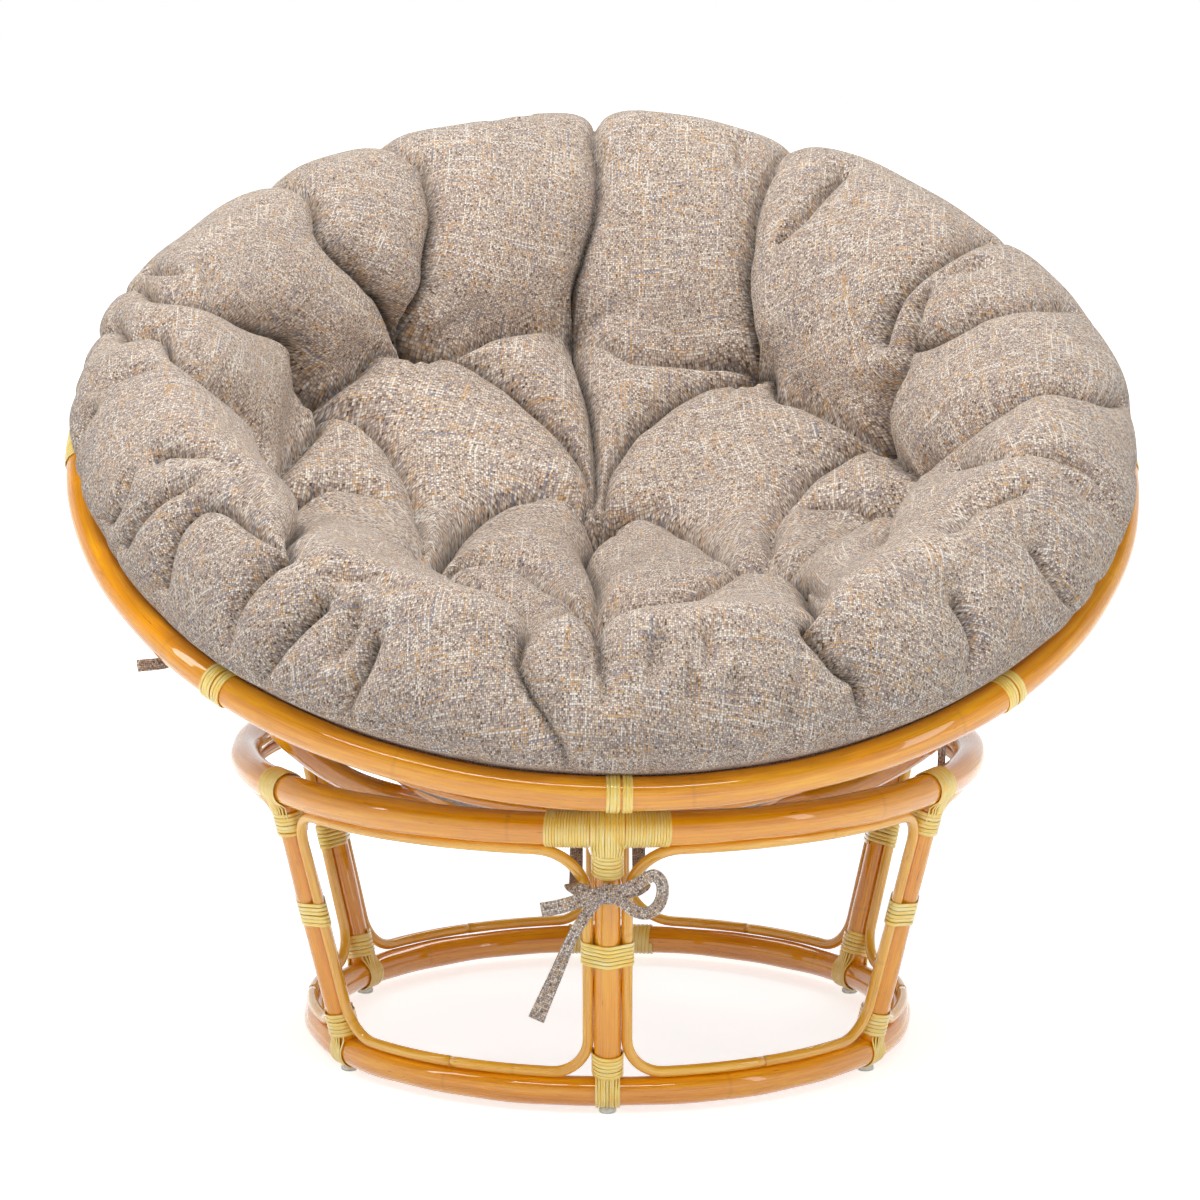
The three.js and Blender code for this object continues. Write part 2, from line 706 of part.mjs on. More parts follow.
// The bowl leans towards lean_heading to the right of straight ahead, and isn't turned about itself.
function bowlGroup() {
  const bowl = new THREE.Group();
  bowl.rotation.z = -turn(lean_heading);
  bowl.add(...bowlHoops());
  for (let i = 0; i < rib_count; i += 1) bowl.add(ribMesh(i));
  const splice_width = rim_splice_turns * (strip_width + strip_spacing);
  const splice_from = rim_splice_azimuth - THREE.MathUtils.radToDeg(splice_width / 2 / rim_radius);
  const splice = hoopWinding("rim_splice", rim_ring, splice_from, rim_splice_turns);
  bowl.add(namedMesh("rim_splice", splice, binding_cane));
  bowl.add(cushionMesh());
  bowl.add(sideTie("left_tie", left_tie_route), sideTie("right_tie", right_tie_route));
  const tipped = new THREE.Group();
  tipped.rotation.x = turn(bowl_lean);
  tipped.add(bowl);
  const placed = new THREE.Group();
  placed.rotation.z = turn(lean_heading);
  placed.position.z = rim_height;
  placed.add(tipped);
  return placed;
}

const stand = standGroup();
stand.add(...frontTie());
const heading = turn(lean_heading);
stand.position.set(rim_setback * Math.sin(heading), -rim_setback * Math.cos(heading), 0);

const papasan_chair = new THREE.Group();
papasan_chair.add(stand, bowlGroup());

export default papasan_chair;
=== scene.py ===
# A papasan chair: a round lacquered cane bowl, tipped forward in the top ring of a cane stand bound with
# flat strip, and a thick tufted tweed cushion tied into it. Metres, +Z up, the sitter faces -Y.
import math

import bpy
import numpy as np
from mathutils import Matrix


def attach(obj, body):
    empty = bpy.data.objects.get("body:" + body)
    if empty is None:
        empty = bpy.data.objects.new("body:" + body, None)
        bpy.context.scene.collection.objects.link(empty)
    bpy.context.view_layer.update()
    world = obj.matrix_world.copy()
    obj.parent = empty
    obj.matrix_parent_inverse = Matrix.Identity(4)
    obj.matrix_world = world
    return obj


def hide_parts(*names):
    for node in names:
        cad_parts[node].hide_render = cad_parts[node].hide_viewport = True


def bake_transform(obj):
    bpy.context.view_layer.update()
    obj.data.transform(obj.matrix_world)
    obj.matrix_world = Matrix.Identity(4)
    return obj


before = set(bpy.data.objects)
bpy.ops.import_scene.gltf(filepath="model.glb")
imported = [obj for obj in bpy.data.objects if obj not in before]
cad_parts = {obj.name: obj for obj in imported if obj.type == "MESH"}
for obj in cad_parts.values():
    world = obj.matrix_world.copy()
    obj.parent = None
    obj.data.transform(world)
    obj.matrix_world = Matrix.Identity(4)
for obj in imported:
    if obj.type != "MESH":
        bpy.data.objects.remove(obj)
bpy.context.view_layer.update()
scene = bpy.context.scene
scene.view_settings.view_transform = "Standard"


# The viewpoint. The stand's own upright axis stands a little forward of the origin, and the camera is
# square to it, level across and looking down by ten degrees.
stand_axis = np.array([0.00347, -0.05088, 0.0])
camera_back, camera_up, looking_down = 4.5878, 1.2701, 10.09


def made_camera():
    """4.6 m in front of the stand's axis; the shift, a share of the width, is the photograph's framing."""
    lens = bpy.data.cameras.new("viewpoint")
    lens.lens = 136.7
    lens.sensor_width = 36
    lens.shift_x = -0.00625
    camera = bpy.data.objects.new("viewpoint", lens)
    camera.location = stand_axis + np.array([0, -camera_back, camera_up])
    camera.rotation_euler = (math.radians(90 - looking_down), 0, 0)
    scene.collection.objects.link(camera)
    scene.camera = camera


made_camera()


# The room: a white studio floor that keeps the chair's soft shadow, with painted shade round the chair, light
# from all round that fades towards the ceiling, a broad lamp overhead, a long strip lamp in front and narrow
# ones on the other sides.
lamps = (
    # name, place, width, height, power in watts
    ("key", (-0.2, -0.8, 3.1), 2.6, 0.6, 58),
    ("front_strip", (-0.3, -2.2, 2.9), 3.0, 0.14, 20),
    ("left_strip", (-2.3, -0.7, 2.5), 0.3, 1.8, 10),
    ("fill", (2.5, -1.7, 1.4), 0.4, 1.8, 6),
    ("back", (0.5, 2.2, 2.4), 2.4, 0.5, 18),
)
chair_middle = 0.45


def add(tree, kind, links=None, **settings):
    """Adds a shader node. links gives the inputs, by name or number, their value or what they come from: a
    socket, or a node for its first output."""
    node = tree.nodes.new("ShaderNode" + kind)
    for name, value in settings.items():
        setattr(node, name, value)
    for name, value in (links or {}).items():
        if isinstance(value, bpy.types.Node):
            value = value.outputs[0]
        if isinstance(value, bpy.types.NodeSocket):
            tree.links.new(value, node.inputs[name])
        else:
            node.inputs[name].default_value = value
    return node


def bare_material(name):
    """A new material without nodes, and its tree."""
    material = bpy.data.materials.new(name)
    material.use_nodes = True
    material.node_tree.nodes.clear()
    return material, material.node_tree


def seen_rays(tree):
    """1 for a ray that sees the room itself: the camera's, one reflected by gloss or one through glass."""
    rays = add(tree, "LightPath").outputs
    direct = add(tree, "Math", {0: rays["Is Camera Ray"], 1: rays["Is Glossy Ray"]}, operation="MAXIMUM")
    return add(tree, "Math", {0: direct, 1: rays["Is Transmission Ray"]}, operation="MAXIMUM")


def surroundings():
    """White all round, full near the horizon and down to a sixth of that from 40 degrees up."""
    world = bpy.data.worlds.new("studio")
    scene.world = world
    world.use_nodes = True
    tree = world.node_tree
    tree.nodes.clear()
    strength = add(tree, "MapRange", {"Value": seen_rays(tree), "To Min": 0.92, "To Max": 1.0})
    heading = add(tree, "TexCoord").outputs["Object"]
    upward = add(tree, "SeparateXYZ", {0: heading}).outputs[2]
    fading = {"From Min": 0.28, "From Max": 0.65, "To Min": 1.0, "To Max": 0.16}
    ceiling = add(tree, "MapRange", {"Value": upward, **fading})
    level = add(tree, "Math", {0: strength, 1: ceiling}, operation="MULTIPLY")
    light = add(tree, "Background", {"Color": (1, 1, 1, 1), "Strength": level})
    add(tree, "OutputWorld", {"Surface": light})


def white_floor(reach=14.0):
    """Takes the shadow as a diffuse surface; what sees it directly also gets its own glow, full from 2.2 m
    out so that it meets the surroundings and less near the chair, so that the shadow shows there and the
    floor round the chair is darker as painted shade."""
    material, tree = bare_material("white_floor")
    paint = add(tree, "BsdfDiffuse", {"Color": (0.82, 0.86, 0.90, 1)})
    place = add(tree, "TexCoord").outputs["Object"]
    away = add(tree, "VectorMath", {0: place}, operation="LENGTH").outputs["Value"]
    # Painted shade: the floor's own glow drops from full at 2.2 m to 0.66 at 0.5 m from the middle under the
    # chair.
    glow_dimmed_near_chair = {"From Min": 0.5, "From Max": 2.2, "To Min": 0.66, "To Max": 1.0}
    strength = add(tree, "MapRange", {"Value": away, **glow_dimmed_near_chair})
    glow = add(tree, "Emission", {"Color": (1, 1, 1, 1), "Strength": strength})
    none = add(tree, "Emission", {"Strength": 0.0})
    seen = add(tree, "MixShader", {0: seen_rays(tree), 1: none, 2: glow})
    both = add(tree, "AddShader", {0: paint, 1: seen})
    add(tree, "OutputMaterial", {"Surface": both})
    mesh = bpy.data.meshes.new("floor")
    corners = [(-reach, -reach, 0), (reach, -reach, 0), (reach, reach, 0), (-reach, reach, 0)]
    mesh.from_pydata(corners, [], [(0, 1, 2, 3)])
    mesh.materials.append(material)
    floor = bpy.data.objects.new("floor", mesh)
    scene.collection.objects.link(floor)


def hung_lamp(name, place, width, height, power):
    """A rectangular lamp, turned and tilted to face the chair's middle."""
    lamp = bpy.data.lights.new(name, "AREA")
    lamp.shape = "RECTANGLE"
    lamp.size = width
    lamp.size_y = height
    lamp.energy = power
    holder = bpy.data.objects.new(name, lamp)
    holder.location = place
    aim = np.array([0, 0, chair_middle]) - np.array(place)
    yaw = math.atan2(-aim[0], aim[1])
    pitch = math.atan2(math.hypot(aim[0], aim[1]), -aim[2])
    holder.rotation_euler = (pitch, 0, yaw)
    scene.collection.objects.link(holder)


surroundings()
white_floor()
for lamp in lamps:
    hung_lamp(*lamp)


# The glides: short clear plastic studs nailed under the foot ring, one below each post. They carry the
# chair, so they stand on the floor and their tops meet the cane.
post_count = 6
post_azimuths = np.radians(-90 + 60 * np.arange(post_count))
foot_radius, foot_height, foot_pole = 0.300, 0.021, 0.015
glide_profile = np.array([
    [0.0072, 0], [0.0082, 0.0006], [0.0086, 0.0018], [0.0085, 0.0036], [0.0078, 0.0048], [0.006, 0.0062],
])


def linear(colour):
    """sRGB hex to linear red, green, blue: the lower straight part, then the power 2.4 curve."""
    value = np.array([int(colour[i : i + 2], 16) / 255 for i in (1, 3, 5)])
    return tuple(np.where(value <= 0.04045, value / 12.92, ((value + 0.055) / 1.055) ** 2.4)) + (1.0,)


def ramp(node, *stops):
    """Sets a Color Ramp's stops, each a place from 0 to 1 and a hex colour or a grey value."""
    elements = node.color_ramp.elements
    while len(elements) < len(stops):
        elements.new(0.5)
    for element, (place, colour) in zip(elements, stops):
        element.position = place
        element.color = linear(colour) if isinstance(colour, str) else (colour, colour, colour, 1)
    return node


def clear_plastic():
    """Moulded polypropylene: milky, nearly clear, a soft gloss, faint mould grain a millimetre across."""
    material, tree = bare_material("milky_polypropylene")
    place = add(tree, "TexCoord").outputs["Object"]
    cloud = add(tree, "TexNoise", {"Vector": place, "Scale": 260.0, "Detail": 3.0})
    tint = ramp(add(tree, "ValToRGB", {0: cloud}), (0.3, "#d9d9d4"), (0.7, "#f0f0ec"))
    grain = add(tree, "TexNoise", {"Vector": place, "Scale": 900.0, "Detail": 2.0})
    surface = {
        "Base Color": tint,
        "Roughness": 0.28,
        "IOR": 1.49,
        "Transmission Weight": 0.35,
        "Subsurface Weight": 0.2,
        "Subsurface Scale": 0.003,
        "Normal": add(tree, "Bump", {"Height": grain, "Strength": 0.25, "Distance": 0.0004}),
    }
    add(tree, "OutputMaterial", {"Surface": add(tree, "BsdfPrincipled", surface)})
    return material


def level_way(angle):
    """The level direction at each angle about the upright."""
    return np.stack([np.cos(angle), np.sin(angle), 0 * angle], -1)


def grid_faces(rows, columns):
    """Quads of a grid of points whose columns close on themselves, as rows of point numbers, facing out."""
    i = np.arange(rows - 1)[:, None]
    j = np.arange(columns)[None]
    k, n = (j + 1) % columns, i + 1
    corners = (i * columns + j, n * columns + j, n * columns + k, i * columns + k)
    return np.stack([np.broadcast_to(c, (i.size, columns)) for c in corners], -1).reshape(-1, 4)


def closed_faces(rows, columns, facing=1):
    """The quads of such a grid with a face over each end; facing -1 turns the quads and the ends round."""
    first, last = list(range(columns)), list(range((rows - 1) * columns, rows * columns))
    return [f[::facing] for f in grid_faces(rows, columns).tolist()] + [first[::facing], last[::-facing]]


def numbered(kind, count):
    """The kind's name with _1, _2 and so on."""
    return [f"{kind}_{i}" for i in range(1, count + 1)]


def piece(name, parts, finish, slot, body, *stands_for):
    """One object of several parts. A part is its points, its faces, and where each point is on the stock it
    was cut from (across, through, along, in metres), which the finish reads as the attribute called stock."""
    points, faces, stock, start = [], [], [], 0
    for place, face, cut in parts:
        points.append(place)
        stock.append(cut)
        faces.extend([[c + start for c in f] for f in face])
        start += len(place)
    points, stock = np.concatenate(points), np.concatenate(stock)
    mesh = bpy.data.meshes.new(name)
    mesh.from_pydata(points.tolist(), [], faces)
    layer = mesh.attributes.new("stock", "FLOAT_VECTOR", "POINT")
    layer.data.foreach_set("vector", stock.astype(np.float32).ravel())
    mesh.polygons.foreach_set("use_smooth", np.ones(len(faces), bool))
    mesh.materials.append(finish)
    made = bpy.data.objects.new(name, mesh)
    scene.collection.objects.link(made)
    if body:
        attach(made, body)
    if stands_for:
        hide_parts(*stands_for)
    return made


def turned(profile, sides, centre):
    """A profile of (radius, height) points turned about the upright line through centre, both ends shut."""
    around = np.arange(sides) * 2 * math.pi / sides
    reach, height = profile[:, 0][:, None], profile[:, 1][:, None]
    points = np.stack([reach * np.cos(around), reach * np.sin(around), height + 0 * around], -1) + centre
    return points.reshape(-1, 3), closed_faces(len(profile), sides, -1), points.reshape(-1, 3)


glide_parts = [turned(glide_profile, 24, stand_axis + foot_radius * level_way(a)) for a in post_azimuths]
piece("glides", glide_parts, clear_plastic(), "clear_plastic", "stand", *numbered("glide", post_count))


# The two rings of the stand: thick cane poles, peeled, steamed round a jig and butted under a binding,
# then brushed with a clear honey lacquer. The long fibres show as streaks along the pole.
upright = np.array([0, 0, 1.0])
top_radius, top_height, top_pole = 0.372, 0.299, 0.0165


def fibres(tree, stock, stretch, detail, **more):
    """Noise drawn out along the stock: each axis is first multiplied by its stretch, in waves a metre."""
    drawn = add(tree, "Mapping", {"Vector": stock, "Scale": stretch})
    return add(tree, "TexNoise", {"Vector": drawn, "Scale": 1.0, "Detail": detail, **more})


def cane(name, dark, middle, light, gloss):
    """Peeled rattan under gloss lacquer: streaks about 1 mm wide and 60 mm long, brown flecks, and the
    faint rings of the plant's joints every 0.28 m. Read along the stock, so they follow every bend."""
    material, tree = bare_material(name)
    stock = add(tree, "Attribute", attribute_name="stock").outputs["Vector"]
    streak = fibres(tree, stock, (900, 900, 17), 4.0, Roughness=0.6, Distortion=0.3)
    wide = fibres(tree, stock, (130, 130, 7), 3.0)
    both = add(tree, "Math", {0: streak, 1: wide}, operation="ADD")
    half = add(tree, "Math", {0: both, 1: 0.5}, operation="MULTIPLY")
    tone = ramp(add(tree, "ValToRGB", {0: half}), (0.36, dark), (0.5, middle), (0.64, light))
    spots = fibres(tree, stock, (520, 520, 46), 2.0)
    fleck = ramp(add(tree, "ValToRGB", {0: spots}), (0.7, 0.0), (0.8, 0.7))
    flecked = add(tree, "Mix", {0: fleck, 6: tone, 7: linear("#7a3f14")}, data_type="RGBA").outputs[2]
    along = add(tree, "SeparateXYZ", {0: stock}).outputs[2]
    joint = add(tree, "Math", {0: along, 1: 0.14}, operation="PINGPONG")
    line = {"From Min": 0.0, "From Max": 0.003, "To Min": 0.14, "To Max": 0.0}
    ring = add(tree, "MapRange", {"Value": joint, **line})
    ringed = add(tree, "Mix", {0: ring, 6: flecked, 7: linear("#8a4a18")}, data_type="RGBA").outputs[2]
    duller = {"From Min": 0.3, "From Max": 0.7, "To Min": gloss, "To Max": gloss + 0.14}
    surface = {
        "Base Color": ringed,
        "Roughness": add(tree, "MapRange", {"Value": wide, **duller}),
        "IOR": 1.5,
        "Specular IOR Level": 0.15,
        "Coat Weight": 1.0,
        "Coat Roughness": 0.025,
        "Coat IOR": 1.66,
        "Normal": add(tree, "Bump", {"Height": half, "Strength": 0.15, "Distance": 0.0005}),
    }
    add(tree, "OutputMaterial", {"Surface": add(tree, "BsdfPrincipled", surface)})
    return material


lacquered_cane = cane("honey_lacquered_cane", "#de8800", "#f49e00", "#ffb604", 0.16)


def cane_piece(name, parts, body, *stands_for):
    """A piece in the frame's own lacquered cane."""
    return piece(name, parts, lacquered_cane, "lacquered_cane", body, *stands_for)


def unit(v):
    """Each row divided by its length."""
    return v / np.maximum(np.linalg.norm(v, axis=-1, keepdims=True), 1e-12)


def compass(angle):
    """Cosine and sine of each angle."""
    return np.stack([np.cos(angle), np.sin(angle)], -1)


def round_section(radius, sides):
    """Points evenly round a circle."""
    return radius * compass(np.arange(sides) * 2 * math.pi / sides)


def run_along(path):
    """How far along a path each of its points lies."""
    return np.concatenate([[0], np.cumsum(np.linalg.norm(np.diff(path, axis=0), axis=1))])


def carried(path, out, section, start=0.0, swell=None):
    """A closed section of (across, through) points carried along a path: each point is the path's, plus
    across times the direction square to the path and to out, plus through times out squared to the path.
    Both ends are closed."""
    forward = unit(np.gradient(path, axis=0))
    side = unit(np.cross(forward, out))
    through = np.cross(side, forward)
    swell = np.ones(len(path)) if swell is None else swell
    reach = section[None] * swell[:, None, None]
    points = path[:, None] + reach[..., :1] * side[:, None] + reach[..., 1:] * through[:, None]
    run = run_along(path) + start
    stock = np.concatenate([reach, np.broadcast_to(run[:, None, None], reach.shape[:2] + (1,))], -1)
    return points.reshape(-1, 3), closed_faces(len(path), len(section)), stock.reshape(-1, 3)


def ring_parts(radius, height, pole, joint_azimuth, sides=28, steps=220, wander=0.0008):
    """A hoop from its joint right round to its joint again; a natural pole's thickness wanders by under a
    millimetre, as two waves round the hoop."""
    joint_gap = 0.0008
    around = np.linspace(joint_gap, 2 * math.pi - joint_gap, steps) + math.radians(joint_azimuth)
    out = level_way(around)
    waves = np.sin(around * 9 + radius * 40) * 0.5 + np.sin(around * 23 + 1) * 0.3 - 0.3
    swell = 1 + wander / pole * waves
    path = radius * out + height * upright
    return carried(path, out, round_section(pole, sides), start=radius * 3, swell=swell)


def placed_on_stand(part):
    """A part built about the upright through the origin, moved to the stand's own."""
    return part[0] + stand_axis, part[1], part[2]


top_ring = placed_on_stand(ring_parts(top_radius, top_height, top_pole, -90))
foot_ring = placed_on_stand(ring_parts(foot_radius, foot_height, foot_pole, 90))
cane_piece("top_ring_pole", [top_ring], "stand", "top_ring")
cane_piece("foot_ring_pole", [foot_ring], "stand", "foot_ring")


# The six posts: straight cane poles that lean outwards between the rings, coped to fit them, nailed and
# then bound to them.
post_pole = 0.013
foot_cope, top_cope = 0.011, 0.012
rise, spread = top_height - foot_height, top_radius - foot_radius
slope = math.hypot(rise, spread)


def post_axes(i):
    """The post's foot on the foot ring's middle line, and the directions level across, outwards and up it."""
    radial = level_way(post_azimuths[i])
    across = level_way(post_azimuths[i] + math.pi / 2)
    up = (radial * spread + upright * rise) / slope
    return stand_axis + radial * foot_radius + upright * foot_height, across, np.cross(across, up), up


def post_part(i):
    """A straight pole between the two rings; its thickness is one plus two waves along it."""
    foot, _, out, up = post_axes(i)
    run = np.linspace(foot_cope, slope - top_cope, 26)
    path = foot + run[:, None] * up
    swell = 1 + 0.03 * np.sin(run * 22 + i) + 0.015 * np.sin(run * 61 + 2 * i)
    section = round_section(post_pole, 26)
    return carried(path, np.broadcast_to(out, path.shape), section, start=i * 1.37, swell=swell)


cane_piece("posts", [post_part(i) for i in range(post_count)], "stand", *numbered("post", post_count))


# The bay rods: six thin canes, each bent into a loop that lines the opening between two posts, tacked
# along the rings and posts with its two ends butted in the middle of the foot run.
bay_cane = cane("thin_lacquered_cane", "#e39c18", "#f8b630", "#ffce5c", 0.2)
rod = 0.0055
hair = 0.0003
rod_aside = post_pole + rod + hair
foot_corner, wide_foot_corner = 0.036, 0.054
top_corner, front_top_corner = 0.034, 0.052


def cone(z):
    """The posts' cone: its radius at a height."""
    return foot_radius + spread * (z - foot_height) / rise


def half_loop(post, side, high_corner, low_corner):
    """From the middle of the foot run, along it, round a quarter circle, up beside the post, round another
    and to the middle of the top run. aside is how far from the post's line, z how high, both on the cone."""
    low = foot_height + (foot_pole + rod + hair) * rise / slope
    high = top_height - (top_pole + rod + hair) * rise / slope
    middle = math.pi / post_count
    low_turn, high_turn = compass(np.linspace(-math.pi / 2, 0, 12)), compass(np.linspace(0, math.pi / 2, 12))
    straight = np.linspace(low + low_corner, high - high_corner, 14)[1:-1]
    aside = np.concatenate([
        np.linspace(cone(low) * middle, rod_aside + low_corner, 14)[:-1],
        rod_aside + low_corner * (1 - low_turn[:, 0]),
        np.full(len(straight), rod_aside),
        rod_aside + high_corner * (1 - high_turn[:, 0]),
        np.linspace(rod_aside + high_corner, cone(high) * middle, 14)[1:],
    ])
    z = np.concatenate([
        np.full(13, low),
        low + low_corner * (1 + low_turn[:, 1]),
        straight,
        high - high_corner * (1 - high_turn[:, 1]),
        np.full(13, high),
    ])
    reach = np.hypot(cone(z), rod_aside)
    azimuth = post_azimuths[post % post_count] + side * np.minimum(aside / reach, middle)
    return reach[:, None] * level_way(azimuth) + z[:, None] * upright


def bay_rod_part(i):
    """Up beside one post and down beside the next, its two ends a hair short of meeting. Out is square to the
    cone of the posts."""
    corners = [front_top_corner if post % post_count == 0 else top_corner for post in (i, i + 1)]
    up = half_loop(i, 1, corners[0], foot_corner)
    down = half_loop(i + 1, -1, corners[1], wide_foot_corner if i == 2 else foot_corner)[::-1]
    path = np.concatenate([up, down[1:]])
    path[0] += unit(path[1] - path[0]) * hair
    path[-1] += unit(path[-2] - path[-1]) * hair
    out = unit(path * [1, 1, 0]) - upright * spread / rise
    return placed_on_stand(carried(path, out, round_section(rod, 16), start=i * 2.1))


rod_parts = [bay_rod_part(i) for i in range(post_count)]
piece("bay_rods", rod_parts, bay_cane, "bay_cane", "stand", *numbered("bay_rod", post_count))


# The bindings of the stand: flat strips split from the cane's skin, wound wet and pulled tight, then
# lacquered with the frame. Straps run over each ring at a post and a wrap round the post holds them down.
strip_edge = 0.00198
strip_section = np.array([
    [-strip_edge, -0.0006], [strip_edge, -0.0006], [strip_edge, 0.00005], [0.00145, 0.0005],
    [0, 0.00075], [-0.00145, 0.0005], [-strip_edge, 0.00005],
])


def binding_strip():
    """Cane skin: hard, glossy and straw gold, each turn its own shade, with fine dark lines along the
    fibres, and brown towards both edges of each turn, where it meets the next."""
    material, tree = bare_material("cane_skin_strip")
    stock = add(tree, "Attribute", attribute_name="stock").outputs["Vector"]
    lines = fibres(tree, stock, (1700, 1700, 24), 3.0)
    shade = fibres(tree, stock, (60, 60, 26), 2.0)
    both = add(tree, "Math", {0: lines, 1: shade}, operation="ADD")
    half = add(tree, "Math", {0: both, 1: 0.5}, operation="MULTIPLY")
    tone = ramp(add(tree, "ValToRGB", {0: half}), (0.34, "#fab62c"), (0.47, "#ffda54"), (0.62, "#ffeea4"))
    across = add(tree, "SeparateXYZ", {0: stock}).outputs[0]
    aside = add(tree, "Math", {0: across}, operation="ABSOLUTE")
    brink = {"From Min": 0.0017, "From Max": strip_edge, "To Min": 0.0, "To Max": 0.5}
    edge = add(tree, "MapRange", {"Value": aside, **brink})
    surface = {
        "Base Color": add(tree, "Mix", {0: edge, 6: tone, 7: linear("#7d4415")}, data_type="RGBA").outputs[2],
        "Roughness": 0.3,
        "IOR": 1.5,
        "Coat Weight": 1.0,
        "Coat Roughness": 0.06,
        "Coat IOR": 1.6,
        "Normal": add(tree, "Bump", {"Height": lines, "Strength": 0.3, "Distance": 0.0003}),
    }
    add(tree, "OutputMaterial", {"Surface": add(tree, "BsdfPrincipled", surface)})
    return material


cane_strip = binding_strip()
shades = np.random.default_rng(7)
strip_stock = 40
wrap_pitch, bundle_pitch, rim_pitch, fine_pitch = 0.00405, 0.0042, 0.0041, 0.00265
strap_lift = 0.0011
narrow_strap, narrow_lashing, narrow_splice = 0.66, 0.82, 0.65
leg_from, leg_to, past_level = 0.042, 0.0165, 24


def coil(centre, across, out, up, outline, pitch, turns, points=22):
    """A strip wound round an outline (a function of the angle that gives how far across and out it lies) and
    climbing by pitch each turn. It starts on the side away from out."""
    angle = np.linspace(0, 2 * math.pi * turns, int(points * turns) + 1)
    a, o, na, no = outline(angle - math.pi / 2)
    run = pitch * angle / (2 * math.pi)
    knots = np.arange(0, angle[-1] + 7, 2.1)
    jitter = 0.00022 * np.interp(angle, knots, shades.normal(0, 1, len(knots)))
    path = centre + a[:, None] * across + o[:, None] * out + (run + jitter)[:, None] * up
    normal = na[:, None] * across + no[:, None] * out
    return carried(path, normal, strip_section, start=shades.uniform(0, strip_stock))


def round_bundle(*circles, lift=0.0009):
    """The outline of a strip pulled round circles side by side, each (place across, radius): at each angle
    it touches the circle that reaches furthest that way."""
    circles = np.array(circles)

    def outline(angle):
        cosine, sine = np.cos(angle), np.sin(angle)
        reach = circles[:, 0] * cosine[:, None] + circles[:, 1]
        held = circles[np.argmax(reach, axis=1)]
        return held[:, 0] + (held[:, 1] + lift) * cosine, (held[:, 1] + lift) * sine, cosine, sine

    return outline


def post_bindings(i):
    """At each end of a post a wrap of six turns; at its middle one of six round the post and both rods."""
    foot, across, out, up = post_axes(i)
    single = round_bundle((0, post_pole + 0.0013))
    bundle = round_bundle((0, post_pole), (rod_aside, rod), (-rod_aside, rod))
    low, high, middle = 0.0205, slope - 0.0475, 0.54 * slope - 0.0128
    yield coil(foot + low * up, across, out, up, single, wrap_pitch, 6)
    yield coil(foot + high * up, across, out, up, single, wrap_pitch, 6)
    yield coil(foot + middle * up, across, out, up, bundle, bundle_pitch, 6, points=28)


def straps(i, at_top):
    """Strips laid side by side over a ring at a post: up the post's outside, over the ring's far side in a
    half circle and down the post's inside, held by the wrap. Each follows the post's round at its place."""
    foot, across, out, up = post_axes(i)
    pole, sign, place = (top_pole, 1, foot + slope * up) if at_top else (foot_pole, -1, foot)
    half_width, count, gathered = (0.0149, 12, 0.79) if at_top else (0.0109, 9, 1.05)
    ease = np.linspace(0, 1, 8) ** 2
    run = np.linspace(leg_from, leg_to, 8)
    over = compass(np.linspace(math.radians(-past_level), math.radians(180 + past_level), 26))
    normal = np.concatenate([np.tile([1.0, 0.0], (8, 1)), over, np.tile([-1.0, 0.0], (8, 1))])
    for wide in np.linspace(-half_width, half_width, count):
        wide = wide + shades.normal(0, 0.00015)
        aside = gathered * wide
        depth = math.sqrt(max((post_pole + 0.0009) ** 2 - aside**2, 1e-6))
        o, u = ((pole + strap_lift) * over).T
        o = np.concatenate([depth + ease * 0.001, o, (-depth - ease * 0.001)[::-1]])
        u = np.concatenate([-run, u, -run[::-1]])
        leg = aside + (wide - aside) * ease
        sideways = np.concatenate([leg, np.full(26, wide), leg[::-1]])
        path = place + sideways[:, None] * across + o[:, None] * out + (sign * u)[:, None] * up
        facing = normal[:, :1] * out + sign * normal[:, 1:] * up
        yield carried(path, facing, strip_section * [narrow_strap, 1], start=shades.uniform(0, strip_stock))


def ring_coil(radius, height, pole, azimuth, pitch, turns, placed, lift=0.0009, narrow=1.0):
    """A strip wound round a hoop from an azimuth, from the hoop's inside, and advancing by pitch a turn."""
    angle = np.linspace(0, 2 * math.pi * turns, 24 * turns + 1)
    out = level_way(math.radians(azimuth) + pitch * angle / (2 * math.pi) / radius)
    normal = -np.cos(angle)[:, None] * out - np.sin(angle)[:, None] * upright
    path = radius * out + height * upright + (pole + lift) * normal
    return placed(carried(path, normal, strip_section * [narrow, 1], start=shades.uniform(0, strip_stock)))


def splice_coils():
    """Beside the front post two bands of 16 fine turns on the top ring; beside the rear one, 6 and 8 turns on
    the foot ring. Each band meets the post's straps."""
    top, foot = (top_radius, top_height, top_pole), (foot_radius, foot_height, foot_pole)
    fine = {"lift": 0.0007, "narrow": narrow_splice}
    for ring, middle, begin, pitch, turns, finer in (
        (top, -90, 0.0164, fine_pitch, 16, fine),
        (top, -90, -0.0164 - 16 * fine_pitch, fine_pitch, 16, fine),
        (foot, 90, 0.0165, bundle_pitch, 6, {}),
        (foot, 90, -0.0165 - 8 * bundle_pitch, bundle_pitch, 8, {}),
    ):
        yield ring_coil(*ring, middle + math.degrees(begin / ring[0]), pitch, turns, placed_on_stand, **finer)


def stand_binding_parts():
    """Post by post its wraps and its straps over both rings, and then the bands beside them."""
    for i in range(post_count):
        yield from post_bindings(i)
        yield from straps(i, True)
        yield from straps(i, False)
    yield from splice_coils()


wraps = [name for kind in ("top", "mid", "foot") for name in numbered(kind + "_wrap", post_count)]
splices = ["front_splice_left", "front_splice_right", "foot_splice"]
piece("stand_bindings", list(stand_binding_parts()), cane_strip, "binding_cane", "stand", *wraps, *splices)


